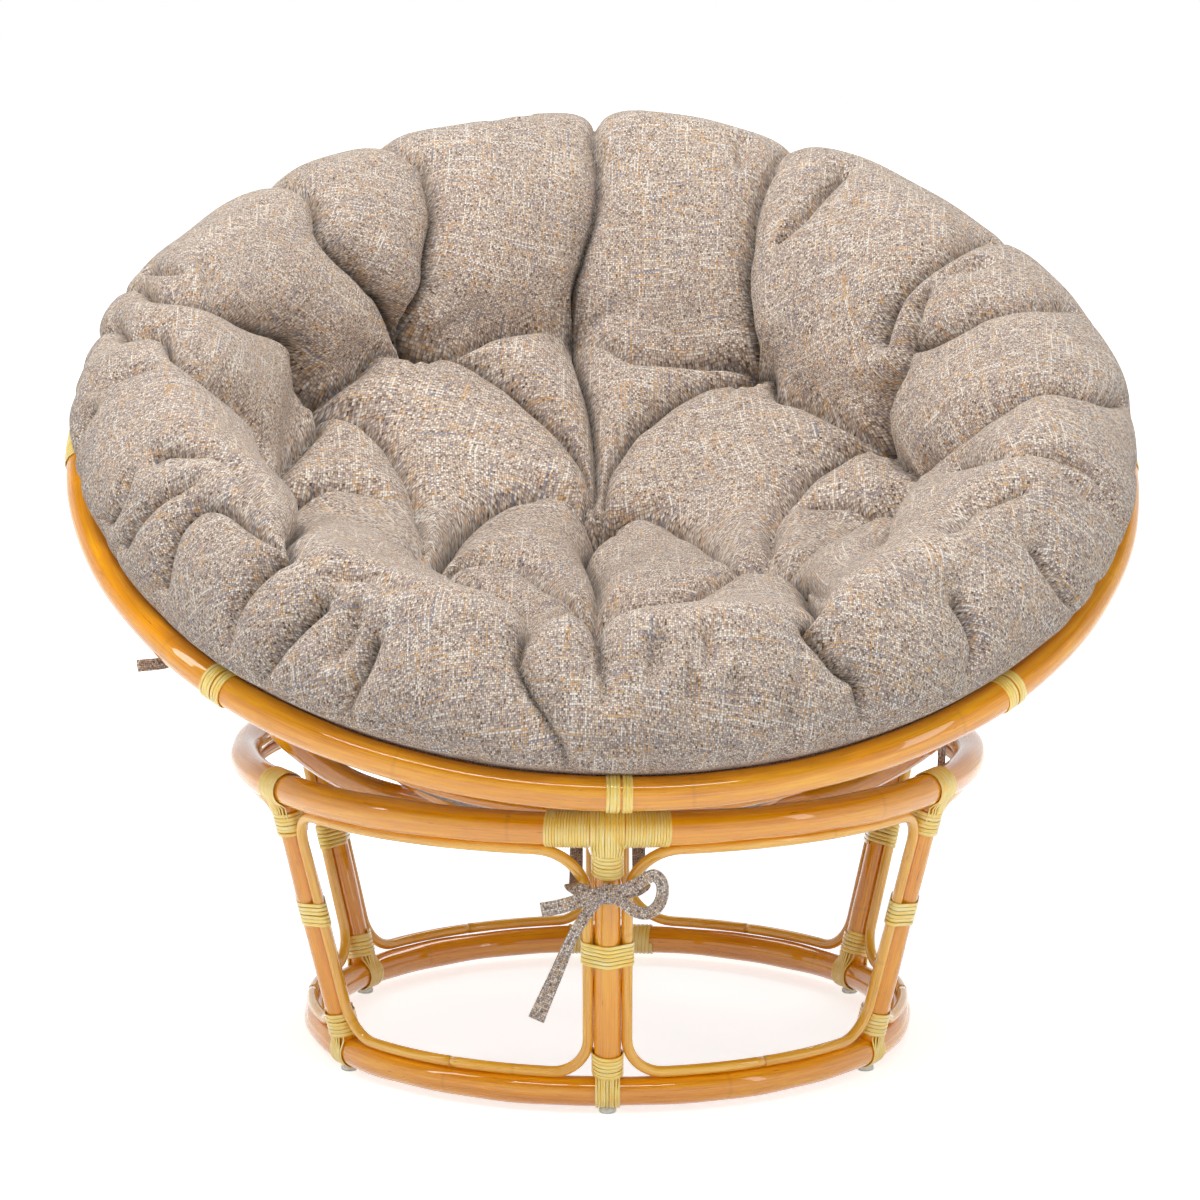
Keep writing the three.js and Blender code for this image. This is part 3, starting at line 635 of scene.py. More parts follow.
# The bowl: a rim hoop, eight ribs nailed under it that curve in to the base, and three thinner hoops inside
# them. It is built level and then leans 27.8 degrees forward, a little to the right of straight ahead.
heading, lean = math.radians(3.9), math.radians(27.8)
rim_height = 0.593 * upright
rim_radius, rim_pole, rib_pole, hoop_pole, bowl_depth = 0.5335, 0.0165, 0.012, 0.008, 0.402
rim_joint, hoop_joint = 180.5, 92
hoop_shares = (0.24, 0.58, 0.965)


def spun(angle):
    """The turn by an angle about the upright, as a table of sines and cosines."""
    cosine, sine = math.cos(angle), math.sin(angle)
    return np.array([[cosine, -sine, 0], [sine, cosine, 0], [0, 0, 1]])


tipped = np.array([[1, 0, 0], [0, math.cos(lean), -math.sin(lean)], [0, math.sin(lean), math.cos(lean)]])
bowl_turn = spun(heading) @ tipped @ spun(-heading)


def in_bowl(points):
    """Points of the level bowl, turned as it leans and raised to the rim's middle."""
    return points @ bowl_turn.T + rim_height


def placed_in_bowl(part):
    """A part of the level bowl at its place in the leaning one."""
    return in_bowl(part[0]), part[1], part[2]


def smooth_through(points, per_span):
    """A curve through points: on each span a cubic whose end slopes come from its neighbours, each step
    weighted by the square root of its length."""
    points = np.asarray(points, float)
    p = np.concatenate([[2 * points[0] - points[1]], points, [2 * points[-1] - points[-2]]])
    step = np.sqrt(np.linalg.norm(np.diff(p, axis=0), axis=1))[:, None]
    a, b, c, d = p[:-3], p[1:-2], p[2:-1], p[3:]
    s0, s1, s2 = step[:-2], step[1:-1], step[2:]
    m1 = ((b - a) / s0 - (c - a) / (s0 + s1) + (c - b) / s1) * s1
    m2 = ((c - b) / s1 - (d - b) / (s1 + s2) + (d - c) / s2) * s1
    t = (np.arange(per_span) / per_span)[None, :, None]
    b, c, m1, m2 = b[:, None], c[:, None], m1[:, None], m2[:, None]
    leaving, arriving = (2 * t**3 - 3 * t**2 + 1) * b, (3 * t**2 - 2 * t**3) * c
    curve = leaving + (t**3 - 2 * t**2 + t) * m1 + arriving + (t**3 - t**2) * m2
    return np.concatenate([curve.reshape(-1, points.shape[1]), points[-1:]])


rib_count = 8
rib_azimuths = np.radians(2 + 45 * np.arange(rib_count))
rib_shape = np.array([
    [0.9475, 0.024], [0.9, 0.144], [0.8245, 0.3134], [0.6915, 0.5299],
    [0.5623, 0.6866], [0.3936, 0.8532], [0.2624, 0.9478], [0.165, 1],
])
rib_line = smooth_through(rib_shape * [rim_radius, -bowl_depth], 12)
rib_run = run_along(rib_line)
rib_inward = unit(np.stack([np.gradient(rib_line[:, 1]), -np.gradient(rib_line[:, 0])], -1))


def upright_plane(points, azimuth):
    """Points of (radius, height) stood in the upright plane at an azimuth."""
    return points[:, :1] * level_way(azimuth) + points[:, 1:] * upright


def inside_rib(share, distance):
    """The point a share of the way down the rib and distance from its line, towards the bowl's inside."""
    place = np.array([np.interp(share * rib_run[-1], rib_run, rib_line[:, k]) for k in (0, 1)])
    inward = np.array([np.interp(share * rib_run[-1], rib_run, rib_inward[:, k]) for k in (0, 1)])
    return place + distance * unit(inward)


def rib_part(i):
    """The rib line stood at its azimuth; a wave along it, and both ends a seventh thinner."""
    path, out = upright_plane(rib_line, rib_azimuths[i]), -upright_plane(rib_inward, rib_azimuths[i])
    swell = 1 + 0.02 * np.sin(rib_run * 17 + i)
    swell[[0, -1]] *= 0.86
    return placed_in_bowl(carried(path, out, round_section(rib_pole, 24), start=i * 1.9, swell=swell))


def inner_hoop(share):
    """A hoop that lies against the ribs, a share of the way down them."""
    radius, height = inside_rib(share, rib_pole + hoop_pole + hair)
    hoop = ring_parts(radius, height, hoop_pole, hoop_joint, sides=18, steps=160, wander=0.0004)
    return placed_in_bowl(hoop)


rim_part = placed_in_bowl(ring_parts(rim_radius, 0, rim_pole, rim_joint, sides=32, steps=300))
hoop_parts = [inner_hoop(share) for share in hoop_shares]
cane_piece("rim_pole", [rim_part], "bowl", "rim_hoop")
cane_piece("rib_poles", [rib_part(i) for i in range(rib_count)], "bowl", *numbered("rib", rib_count))
cane_piece("inner_hoops", hoop_parts, "bowl", "upper_hoop", "lower_hoop", "base_hoop")


# The bowl's bindings: the rim's own joint wound over at the left, and at each rib strips that go over the
# rim and down both sides of the rib, where a short wrap holds them.
lashing_places = (-0.0112, -0.0079, -0.0046, -0.0013, 0.0042, 0.0075, 0.0108)


def rib_lashing(i):
    """Strips side by side in the plane of a rib: up the rib's outside, in an arc over the rim and down its
    inside, where a short wrap round the rib holds them."""
    azimuth = rib_azimuths[i]
    across = level_way(azimuth + math.pi / 2)
    start = rib_line[0]
    down = unit(rib_line[6] - start)
    outer = np.array([-down[1], down[0]])
    leg = np.linspace(0.05, 0.012, 8)[:, None]
    for aside in lashing_places:
        aside = aside + shades.normal(0, 0.0002)
        depth = math.sqrt((rib_pole + strap_lift) ** 2 - aside**2)
        outside = start + leg * down + depth * outer
        inside = (start + leg * down - depth * outer)[::-1]
        first, last = (math.atan2(p[1], p[0] - rim_radius) for p in (outside[-1], inside[0]))
        last += 2 * math.pi * (last < first)
        over = compass(np.linspace(first + 0.25, last - 0.25, 26))
        arc = [rim_radius, 0] + (rim_pole + strap_lift) * over
        flat = np.concatenate([outside, arc, inside])
        out = np.concatenate([np.tile(outer, (8, 1)), over, np.tile(-outer, (8, 1))])
        path, facing = upright_plane(flat, azimuth) + aside * across, upright_plane(out, azimuth)
        section = strip_section * [narrow_lashing, 1]
        strip = carried(path, facing, section, start=shades.uniform(0, strip_stock))
        yield placed_in_bowl(strip)
    centre, outer, down = upright_plane(np.stack([start + 0.026 * down, outer, down]), azimuth)
    wrap = round_bundle((0, rib_pole + 0.001))
    yield placed_in_bowl(coil(centre, across, outer, down, wrap, rim_pitch, 5.3))


def bowl_binding_parts():
    """Rib by rib its strips, and then 17 turns round the rim's joint."""
    for i in range(rib_count):
        yield from rib_lashing(i)
    turns = 17
    begin = rim_joint - math.degrees(turns * rim_pitch / 2 / rim_radius)
    yield ring_coil(rim_radius, 0, rim_pole, begin, rim_pitch, turns, placed_in_bowl)


piece("bowl_bindings", list(bowl_binding_parts()), cane_strip, "binding_cane", "bowl", "rim_splice")


# The cushion: a round cover of heavy slub tweed, a top and a base sewn to a deep band, filled with loose
# polyester fibre and drawn down by tufts through the middle and a ring of ten, so folds run out from them.
cloth_off_rib = 0.0289
spans_to_seam = 14
tuft_share = 3 / spans_to_seam
tuft_azimuths = np.array([16, 53, 98, 132, 156, 190, 223, 268, 314, 350.0])
tuft_radii = rim_radius * np.array([0.555, 0.463, 0.491, 0.564, 0.63, 0.611, 0.437, 0.429, 0.414, 0.56])
# Each crease: its depth as a share of the deepest, its width in millimetres, and its course over the cushion
# as azimuths (degrees) and thousandths of the share in turn. The seams are courses of the same kind.
creases = [
    (1, 22, [98, 214, 98, 214, 97, 248, 94.5, 302, 93, 326, 92, 360, 92, 395, 92.5, 426, 92, 500, 91.9,
     580, 91.8, 720]),
    (1, 22, [132, 214, 134, 240, 136, 281, 137.5, 307, 139.5, 338, 140, 369, 138, 400, 137, 417, 136.5,
     440, 136, 483, 135.9, 580, 135.8, 720]),
    (0.8, 18, [132, 214, 131, 236, 127, 267, 124.5, 305, 121, 343, 120, 364, 119, 395, 118.5, 410, 119,
     424, 120, 464, 120.2, 580, 120.5, 720]),
    (0.7, 10, [101.5, 519, 104.5, 474]),
    (1, 20, [156, 214, 156, 219, 155.5, 262, 157, 293, 162, 331, 165, 360, 166.5, 386, 167.5, 412, 168,
     438, 167.5, 467, 166, 505, 162, 564, 161.2, 614, 160, 720]),
    (0.6, 10, [158, 579, 161.5, 502, 163, 464]),
    (0.5, 10, [160, 443, 164.5, 405, 166.5, 390]),
    (1, 22, [190, 214, 201.5, 319, 193, 290, 186, 279, 184, 302, 184.5, 348, 184.5, 386, 180.5, 429,
     176.5, 448, 175, 493, 174.5, 524, 170, 569, 169.1, 619, 167.8, 720]),
    (1, 22, [53, 214, 55.5, 236, 58, 255, 60.5, 283, 62.5, 307, 63.5, 331, 64.5, 350, 65.5, 381, 66, 407,
     66, 426, 66.5, 450, 66.5, 502, 66.5, 580, 66.5, 720]),
    (0.6, 10, [71.5, 438, 70, 402]),
    (0.5, 14, [56, 445, 56, 414, 56, 388, 56, 364, 57.5, 338]),
    (1, 22, [16, 214, 19, 245, 19.5, 279, 20, 295, 22.5, 317, 24, 333, 26, 350, 27, 364]),
    (0.8, 16, [27, 302, 28.5, 317, 29.5, 329, 30.5, 343, 31, 364, 31.5, 393, 32.5, 426, 33.5, 457, 35,
     533, 34.5, 548, 34.4, 598, 34.2, 720]),
    (0.4, 8, [27.5, 390, 27, 436]),
    (0.8, 14, [22, 314, 19, 331, 17, 360, 17, 390, 16.5, 431, 17, 476, 19.5, 574, 18.5, 588]),
    (1, 20, [350, 214, 342, 245, 354.5, 252, 353, 305, 353.5, 333, 355, 360, 355.5, 383, 356.5, 410, 357,
     448, 358, 486, 359, 529, 3.5, 624]),
    (0.6, 12, [317.5, 364, 334.5, 307, 348, 276, 351, 302, 351, 331, 353, 345]),
    (0.6, 12, [321, 419, 325.5, 414, 328.5, 429, 330.5, 443, 332, 457]),
    (0.6, 12, [345, 345, 341, 386, 339.5, 414, 340.5, 460, 342, 510, 342, 552, 341, 600, 340.5, 643]),
    (0.4, 8, [339.5, 483, 338.5, 519, 339, 564]),
    (0.6, 10, [326.5, 529, 326, 564, 326.5, 624, 328.5, 705]),
    (0.8, 14, [313, 519, 313, 569, 312.5, 617, 311, 657]),
    (1, 22, [314, 214, 315, 286, 307.5, 331, 294.5, 457, 295, 505, 296, 550, 297.5, 583, 297.5, 617,
     297.5, 655, 297.5, 688]),
    (0.6, 10, [315, 286, 308, 345, 298.5, 424]),
    (1, 22, [223, 214, 241, 226, 258.5, 319, 260.5, 479, 260.5, 502, 261.5, 533, 263, 571, 264.5, 607,
     266, 655, 266.5, 790]),
    (0.5, 8, [264.5, 562, 265, 588, 266, 621]),
    (0.9, 14, [190, 214, 229, 448, 228.5, 481, 228, 526, 228, 569, 228.5, 643]),
    (0.7, 10, [237.5, 467, 239, 450, 241, 443, 244, 448]),
    (0.7, 12, [241, 495, 241.5, 533, 240.5, 576]),
    (0.7, 12, [237, 502, 236, 540, 235, 593, 233.5, 693]),
    (0.7, 12, [244.5, 524, 244.5, 574, 244, 626, 243.5, 698]),
    (0.8, 12, [216, 667, 215.5, 617, 214.5, 562, 214, 533, 214, 498, 214.5, 476, 216, 462, 218, 455, 222,
     455, 226, 455, 229, 452]),
    (0.6, 10, [207.5, 660, 208, 586, 208.5, 538, 209.5, 500, 211, 462]),
    (0.5, 10, [202, 686, 203.5, 590, 202, 531]),
    (0.6, 10, [202.5, 490, 203.5, 464, 206, 438, 207.5, 419, 211, 412, 216.5, 419, 221, 431]),
    (0.5, 10, [184, 562, 184.5, 521, 184.5, 490, 185.5, 462]),
    (1, 20, [98, 214, 97, 174, 95.5, 136, 94.5, 102, 94.5, 74, 97.5, 40, 140, 10, 140, 0]),
    (1, 20, [270, 0, 256, 48, 266, 102, 269, 160, 268, 214]),
    (1, 20, [132, 214, 127, 198, 124, 181, 122, 162, 119, 140, 116, 119, 112.5, 102, 108, 81, 104, 60,
     104, 0]),
    (0.8, 14, [132, 214, 128.5, 202, 125, 200, 121, 200, 117, 205, 111.5, 207, 105.5, 210, 98, 214]),
    (0.9, 16, [156, 214, 153, 207, 146.5, 207, 142.5, 212, 139.5, 217, 135.5, 212, 132, 214]),
    (0.9, 16, [156, 214, 160.5, 193, 170.5, 198, 181, 210, 190, 214]),
    (1, 18, [156, 214, 157.5, 183, 157.5, 167, 160, 152, 163.5, 140, 170, 129, 176.5, 121, 189, 119, 208,
     152, 223, 214]),
    (0.8, 12, [190, 214, 187.5, 193, 187, 176, 188.5, 162, 191.5, 145]),
    (1, 20, [223, 214, 214, 148, 201, 105, 188.5, 79, 179, 67, 167, 52, 153.5, 43, 146, 33, 141, 21, 141,
     0]),
    (0.9, 16, [223, 214, 224.5, 188, 227.5, 164, 232.5, 150, 240.5, 145, 250.5, 160, 258.5, 188, 268,
     214]),
    (1, 20, [53, 214, 57, 195, 61, 176, 64, 157, 67.5, 138, 71.5, 119, 76, 105, 80.5, 81, 85, 60, 85, 0]),
    (0.7, 12, [53, 214, 56, 217, 63.5, 202, 72.5, 188, 81, 179, 84.5, 181, 98, 214]),
    (0.9, 16, [53, 214, 48, 217, 44, 202, 40, 195, 35.5, 198, 28.5, 200, 22.5, 202, 16, 214]),
    (0.9, 16, [16, 214, 16, 193, 15, 176, 13, 162, 10, 150, 4.5, 138, 358.5, 131, 351.5, 126, 339.5, 136,
     314, 214]),
    (1, 18, [270, 0, 99, 5, 31.5, 21, 16, 33, 359, 45, 342.5, 64, 330.5, 93, 317.5, 140, 313, 183, 314,
     214]),
    (0.5, 8, [353, 148, 353, 176, 351, 198, 340, 281]),
    (0.6, 10, [16, 214, 7, 219, 353.5, 245, 350, 214]),
    (0.8, 14, [268, 214, 279, 236, 294, 236, 314, 214]),
    (0.8, 14, [314, 214, 320, 255, 350, 214]),
    (0.9, 18, [268, 214, 269.5, 479, 270.5, 555]),
    (0.45, 6, [272.5, 414, 272, 474]),
    (0.45, 6, [276, 469, 275.5, 505]),
    (0.45, 6, [282.5, 452, 281.5, 500]),
    (0.45, 6, [279.5, 526, 279, 586]),
    (0.45, 6, [284, 533, 283.5, 614]),
    (0.4, 5, [289.5, 605, 289.5, 626]),
    (0.4, 6, [292, 519, 291.5, 545]),
    (0.45, 10, [274, 660, 274.6, 740, 274.2, 860]),
    (0.35, 9, [278, 700, 277.4, 780, 278.2, 880]),
    (0.5, 10, [282, 620, 282.8, 720, 282.3, 840]),
    (0.3, 9, [285, 680, 285.6, 770]),
    (0.45, 10, [289.5, 640, 288.8, 740, 289.6, 850]),
    (0.35, 9, [293, 690, 293.5, 800]),
    (0.35, 9, [258, 700, 257.2, 800, 257.8, 880]),
    (0.45, 12, [174, 600, 175.5, 700, 175, 840]),
    (0.4, 11, [181, 620, 180, 730, 180.6, 860]),
    (0.5, 12, [187, 580, 188.6, 690, 188, 850]),
    (0.35, 10, [194, 640, 193.2, 750, 194, 870]),
    (0.5, 12, [200, 600, 201.4, 720, 200.6, 860]),
    (0.4, 11, [207, 630, 206.2, 740, 207, 870]),
    (0.45, 12, [214, 610, 215.2, 730, 214.6, 860]),
    (0.35, 10, [352, 620, 352.8, 730, 352.2, 850]),
    (0.4, 11, [342, 600, 341.2, 720, 342, 850]),
    (0.4, 11, [333, 630, 333.8, 740, 333, 860]),
]
seams = [
    [134.5, 429, 130.5, 424, 126.5, 421, 122, 426, 119, 417],
    [136.5, 440, 141, 445, 147, 443, 152, 445, 156, 467],
    [102.5, 450, 97.5, 450, 93, 443],
    [64.5, 490, 58.5, 445, 56, 450],
    [232.5, 783, 237, 714, 240, 721, 243.5, 698, 247.5, 679, 251.5, 669, 255, 660, 257, 650, 259, 674,
     262.5, 690, 266, 679],
    [270, 640, 275, 633, 280.5, 631, 286, 629, 289.5, 624, 293.5, 636, 297, 681],
]


def tuft_ring(azimuth):
    """The tufts' distance from the middle at each azimuth, in straight lines from tuft to tuft."""
    around = np.concatenate([tuft_azimuths - 360, tuft_azimuths, tuft_azimuths + 360])
    return np.interp(np.mod(azimuth, 360), around, np.tile(tuft_radii, 3))


def cushion_section(azimuth, share):
    """The smooth stuffed form. azimuth in degrees; share runs from the middle of the seat (0) out over the
    roll to the band's lower seam (1) and on under the cushion to its middle (1.5). Through fixed points of
    each azimuth's section runs a curve whose slope at each is half the step between its neighbours."""
    ring = tuft_ring(azimuth)
    one = np.ones(len(azimuth))
    facing = np.sin(np.radians(azimuth))
    front = np.clip(-facing, 0, 1) ** 0.7
    settled = 0.011 * np.clip(0.35 + facing, 0, 1) ** 0.6
    to_crest = 0.435 - ring
    points = [
        (0, -0.074),
        (0.35 * ring, -0.062),
        (0.7 * ring, -0.036),
        (ring, -0.016),
        (ring + 0.22 * to_crest, 0.040 - 0.046 * front),
        (ring + 0.58 * to_crest, 0.103 - 0.056 * front - settled),
        (0.438, 0.127 - settled),
        (0.486, 0.116 - settled),
        (0.519, 0.090 - 0.7 * settled),
        (0.536, 0.060),
        (0.539, 0.040),
        (0.5315, 0.0245),
        (0.5240, 0.0150),
        (0.5155, 0.003),
        (0.494, -0.016),
    ]
    points += [tuple(inside_rib(s, cloth_off_rib)) for s in (0.13, 0.24, 0.4, 0.56)]
    points += [(0.133, -0.292), (0.06, -0.2955), (0.0, -0.296)]
    p = np.array([(radius * one, height * one) for radius, height in points])
    n = len(p)
    p = np.concatenate([p[1:2] * [[-1], [1]], p, p[-2:-1] * [[-1], [1]]])
    place = np.clip(share * spans_to_seam, 0, n - 1)
    i = np.clip(place.astype(int), 0, n - 2)
    t = (place - i)[:, None, None]
    a, b, c, d = p[i], p[i + 1], p[i + 2], p[i + 3]
    flat = 0.5 * (2 * b + (c - a) * t + (2 * a - 5 * b + 4 * c - d) * t**2 + (3 * b - a - 3 * c + d) * t**3)
    turn = np.radians(azimuth)[None]
    return np.stack([flat[:, 0] * np.cos(turn), flat[:, 0] * np.sin(turn), flat[:, 1]], -1)


def point_on(azimuth, share):
    """One point of the smooth form."""
    return cushion_section(np.array([azimuth]), np.array([share]))[0, 0]


def along_line(line):
    """Points every few millimetres along a crease, given as azimuths and thousandths of the share in turn,
    on the smooth form. A whole share, about as long as 400 degrees, counts as that much on the curve."""
    share_length = 400
    line = np.array(line, float).reshape(-1, 2) / [1, 1000]
    line = line[np.append(True, np.abs(np.diff(line, axis=0)).sum(1) > 1e-6)]
    turn = np.degrees(np.unwrap(np.radians(line[:, 0])))
    knots = smooth_through(np.stack([turn, line[:, 1] * share_length], -1), 10) / [1, share_length]
    return np.array([point_on(a, s) for a, s in knots])


def nearest(points, line):
    """How far each point is from a line of points, and how far along it the nearest one is, 0 to 1."""
    a, b = line[:-1], line[1:]
    step = b - a
    length = np.maximum((step**2).sum(1), 1e-12)
    best, where = np.full(len(points), 9.0), np.zeros(len(points))
    for k in range(len(a)):
        t = np.clip(((points - a[k]) @ step[k]) / length[k], 0, 1)
        gap = np.linalg.norm(points - a[k] - t[:, None] * step[k], axis=1)
        closer = gap < best
        best[closer], where[closer] = gap[closer], ((k + t) / len(a))[closer]
    return best, where


def crease_cuts(flat, top):
    """How far the creases lower each point, how much painted shade it gets for lying inside a crease, and how
    far off the nearest crease.
    A long crease lowers the cloth by a sharp part, which falls off over 4 mm, and a round one, which falls
    off over its width, both as exp(-distance), and fades towards its end. A short one, stretched about its
    middle, is a soft dimple, deepest half way along."""
    drop, fold_shade, closest = np.zeros(len(flat)), np.zeros(len(flat)), np.full(len(flat), 0.09)
    short, search, sharp, dimple, tight = 0.075, 0.11, 0.0042, 0.008, 0.0046
    dimple_depth, round_depth, sharp_depth = 0.022, 0.023, 0.019
    seam_depth, seam_width = 0.0035, 0.003
    for depth, width, line in creases:
        width = width / 1000
        route = along_line(line)
        length = run_along(route)[-1]
        if length < short:
            middle = (route[0] + route[-1]) / 2
            route = middle + (route - middle) * max(1.5, 0.06 / length)
        low, high = route.min(0) - search, route.max(0) + search
        near = np.where(((flat > low) & (flat < high)).all(1) & top)[0]
        gap, where = nearest(flat[near], route)
        if length < short:
            fade = np.sin(math.pi * np.clip(where, 0, 1)) ** 0.8
            cut = fade * dimple_depth * depth * np.exp(-((gap / dimple) ** 1.5))
        else:
            fade = np.clip(1.15 - where, 0, 1) ** 0.6
            hollow = round_depth * np.exp(-gap / (0.75 * width)) + sharp_depth * np.exp(-gap / sharp)
            cut = fade * depth * hollow
            # Painted shade: how far inside a long crease the point lies, which darkens the cloth's colour
            # there.
            inside = np.clip(fade, 0, 1) * min(1.0, depth + 0.1) * np.exp(-((gap / tight) ** 1.3))
            fold_shade[near] = np.maximum(fold_shade[near], inside)
        drop[near] = (drop[near] ** 3 + cut**3) ** (1 / 3)
        closest[near] = np.minimum(closest[near], gap / max(depth, 0.3) / np.maximum(fade, 0.2))
    for line in seams:
        route = along_line(line)
        near = np.where((np.linalg.norm(flat - route.mean(0), axis=1) < 0.3) & top)[0]
        gap, _ = nearest(flat[near], route)
        drop[near] += seam_depth * np.exp(-gap / seam_width)
    return drop, fold_shade, closest


def tuft_cuts(flat, lumps):
    """The dimple at each tuft, how much painted shade each point gets for lying in it, and the gathers that
    run out from the tufts, three waves about each that fade in 60 mm."""
    gather_height, gather_reach, bare_middle = 0.0026, 0.06, 0.02
    tuft_depth, tuft_width, tuft_shade_width = 0.026, 0.021, 0.009
    drop, fold_shade, gather = np.zeros(len(flat)), np.zeros(len(flat)), np.zeros(len(flat))
    for tuft in [point_on(a, tuft_share) for a in tuft_azimuths] + [point_on(0, 0)]:
        offset = flat - tuft
        gap = np.linalg.norm(offset, axis=1)
        turn = np.arctan2(offset[:, 1], offset[:, 0])
        phase = lumps.uniform(0, 6.28, 3)
        waves = zip((9, 14, 5), (1, 0.7, 0.5), phase)
        pleats = sum(size * np.sin(count * turn + start) for count, size, start in waves)
        gather += gather_height * pleats * np.exp(-gap / gather_reach) * np.clip(gap / bare_middle, 0, 1)
        drop += tuft_depth * np.exp(-((gap / tuft_width) ** 2))
        fold_shade = np.maximum(fold_shade, np.exp(-((gap / tuft_shade_width) ** 2)))
    return drop, fold_shade, gather


def fibre_lumps(flat, lumps):
    """The loose filling's soft unevenness: waves in random directions of three lengths, a few mm high."""
    lump = np.zeros(len(flat))
    for scale, height in ((18, 0.0035), (34, 0.0022), (61, 0.0011)):
        for _ in range(5):
            wave = lumps.normal(0, 1, 3)
            wave = scale * wave / np.linalg.norm(wave)
            lump += height * np.sin(flat @ wave + lumps.uniform(0, 6.28)) / 2
    return lump


def kept_off_rim(moved):
    """Pushes out of the rim pole, and the binding on its joint, whatever reaches into it."""
    reach = np.hypot(moved[:, 0], moved[:, 1])
    off = np.stack([reach - rim_radius, moved[:, 2]], -1)
    gap = np.linalg.norm(off, axis=1)
    around = np.degrees(np.arctan2(moved[:, 1], moved[:, 0])) % 360
    binding_reach, over_binding, over_cane = 4.6, 0.0035, 0.0012
    least = rim_pole + np.where(np.abs(around - rim_joint) < binding_reach, over_binding, over_cane)
    short = gap < least
    pushed = off[short] * (least[short] / gap[short])[:, None]
    moved[short, :2] *= ((rim_radius + pushed[:, 0]) / reach[short])[:, None]
    moved[short, 2] = pushed[:, 1]


def cushion_form(columns=900, rows=330):
    """The smooth form, puffed between the creases and cut by them, the tufts and the seams. Where the cushion
    lies on the rim it goes back to the smooth form."""
    azimuth = np.arange(columns) * 360 / columns
    share = np.concatenate([np.linspace(0.002, 1, rows), np.linspace(1, 1.5, rows // 4)[1:-1]])
    form = cushion_section(azimuth, share)
    flat = form.reshape(-1, 3)
    round_step = np.roll(form, -1, axis=1) - np.roll(form, 1, axis=1)
    normal = unit(np.cross(np.gradient(form, axis=0), round_step)).reshape(-1, 3)
    row_share = np.repeat(share, columns)
    top = row_share <= 1.0
    lumps = np.random.default_rng(3)
    drop, fold_shade, closest = crease_cuts(flat, top)
    tuft_drop, tuft_fold_shade, gather = tuft_cuts(flat, lumps)
    drop, fold_shade = drop + tuft_drop, np.maximum(fold_shade, tuft_fold_shade)
    puff_height, puff_reach = 0.018, 0.035
    puff = puff_height * (1 - np.exp(-closest / puff_reach)) * top
    puff *= np.interp(row_share, [0, 0.32, 0.5, 0.62, 1], [1, 1, 0.5, 0.25, 0.1])
    steady = np.where(top, np.interp(row_share, [0, 0.7, 0.84, 1], [1, 1, 0.2, 0.2]), 0.25)
    moved = flat + normal * (puff + gather * top + fibre_lumps(flat, lumps) * steady)[:, None]
    # The furthest that the cloth may stand out at each height over the rim's middle.
    heights = [0.0, 0.012, 0.0165, 0.022, 0.034, 0.06]
    most = np.interp(moved[:, 2], heights, [0.517, 0.522, 0.524, 0.531, 0.5415, 0.547])
    reach = np.hypot(moved[:, 0], moved[:, 1])
    moved[:, :2] *= np.where(top, np.minimum(1, most / reach), 1)[:, None]
    drop *= np.interp(row_share, [0, 0.57, 0.7, 0.79, 1], [1, 1, 0.85, 0.45, 0.05])
    moved -= normal * drop[:, None]
    bedded = np.interp(row_share, [0.74, 0.83, 0.96, 1.0], [0, 0.9, 0.9, 0])
    moved += (flat - moved) * bedded[:, None]
    kept_off_rim(moved)
    return moved.reshape(form.shape), share, azimuth, fold_shade


def cushion_mesh(finish):
    """The form as one closed mesh. Its cloth map lays each row out at its true distance from the middle, so
    the weave runs straight across the whole top."""
    form, share, azimuth, fold_shade = cushion_form()
    rows, columns = form.shape[:2]
    points = np.concatenate([form.reshape(-1, 3), [form[0].mean(0), form[-1].mean(0)]])
    faces = grid_faces(rows, columns)[:, ::-1]
    run = run_along(cushion_section(np.array([90.0]), share)[:, 0])
    sheet = run[:, None, None] * compass(np.radians(np.append(azimuth, 360.0)))
    j = np.arange(len(faces)) % columns
    corner_rows, corner_cols = np.divmod(faces, columns)
    wrapped = np.where((corner_cols == 0) & (j[:, None] == columns - 1), columns, corner_cols)
    uv = sheet[corner_rows, wrapped].reshape(-1, 2)
    middle, under_middle, last_row = rows * columns, rows * columns + 1, (rows - 1) * columns
    caps = [[middle, j, (j + 1) % columns] for j in range(columns)]
    caps += [[under_middle, last_row + (j + 1) % columns, last_row + j] for j in range(columns)]
    cap_uv = [(0, 0), (0.001, 0), (0, 0.001)] * (2 * columns)
    mesh = bpy.data.meshes.new("tufted_cushion")
    mesh.from_pydata(in_bowl(points).tolist(), [], faces.tolist() + caps)
    layer = mesh.uv_layers.new(name="cloth")
    layer.data.foreach_set("uv", np.concatenate([uv, np.array(cap_uv)]).astype(np.float32).ravel())
    mesh.polygons.foreach_set("use_smooth", np.ones(len(mesh.polygons), bool))
    # This attribute carries the painted shade of the creases and tufts, which the tweed reads to darken its
    # colour.
    deep = mesh.attributes.new("fold_shade", "FLOAT", "POINT")
    deep.data.foreach_set("value", np.append(fold_shade, [1.0, 0.0]).astype(np.float32))
    mesh.materials.append(finish)
    made = bpy.data.objects.new("tufted_cushion", mesh)
    scene.collection.objects.link(made)
    return made


yarn_pitch = 0.0020


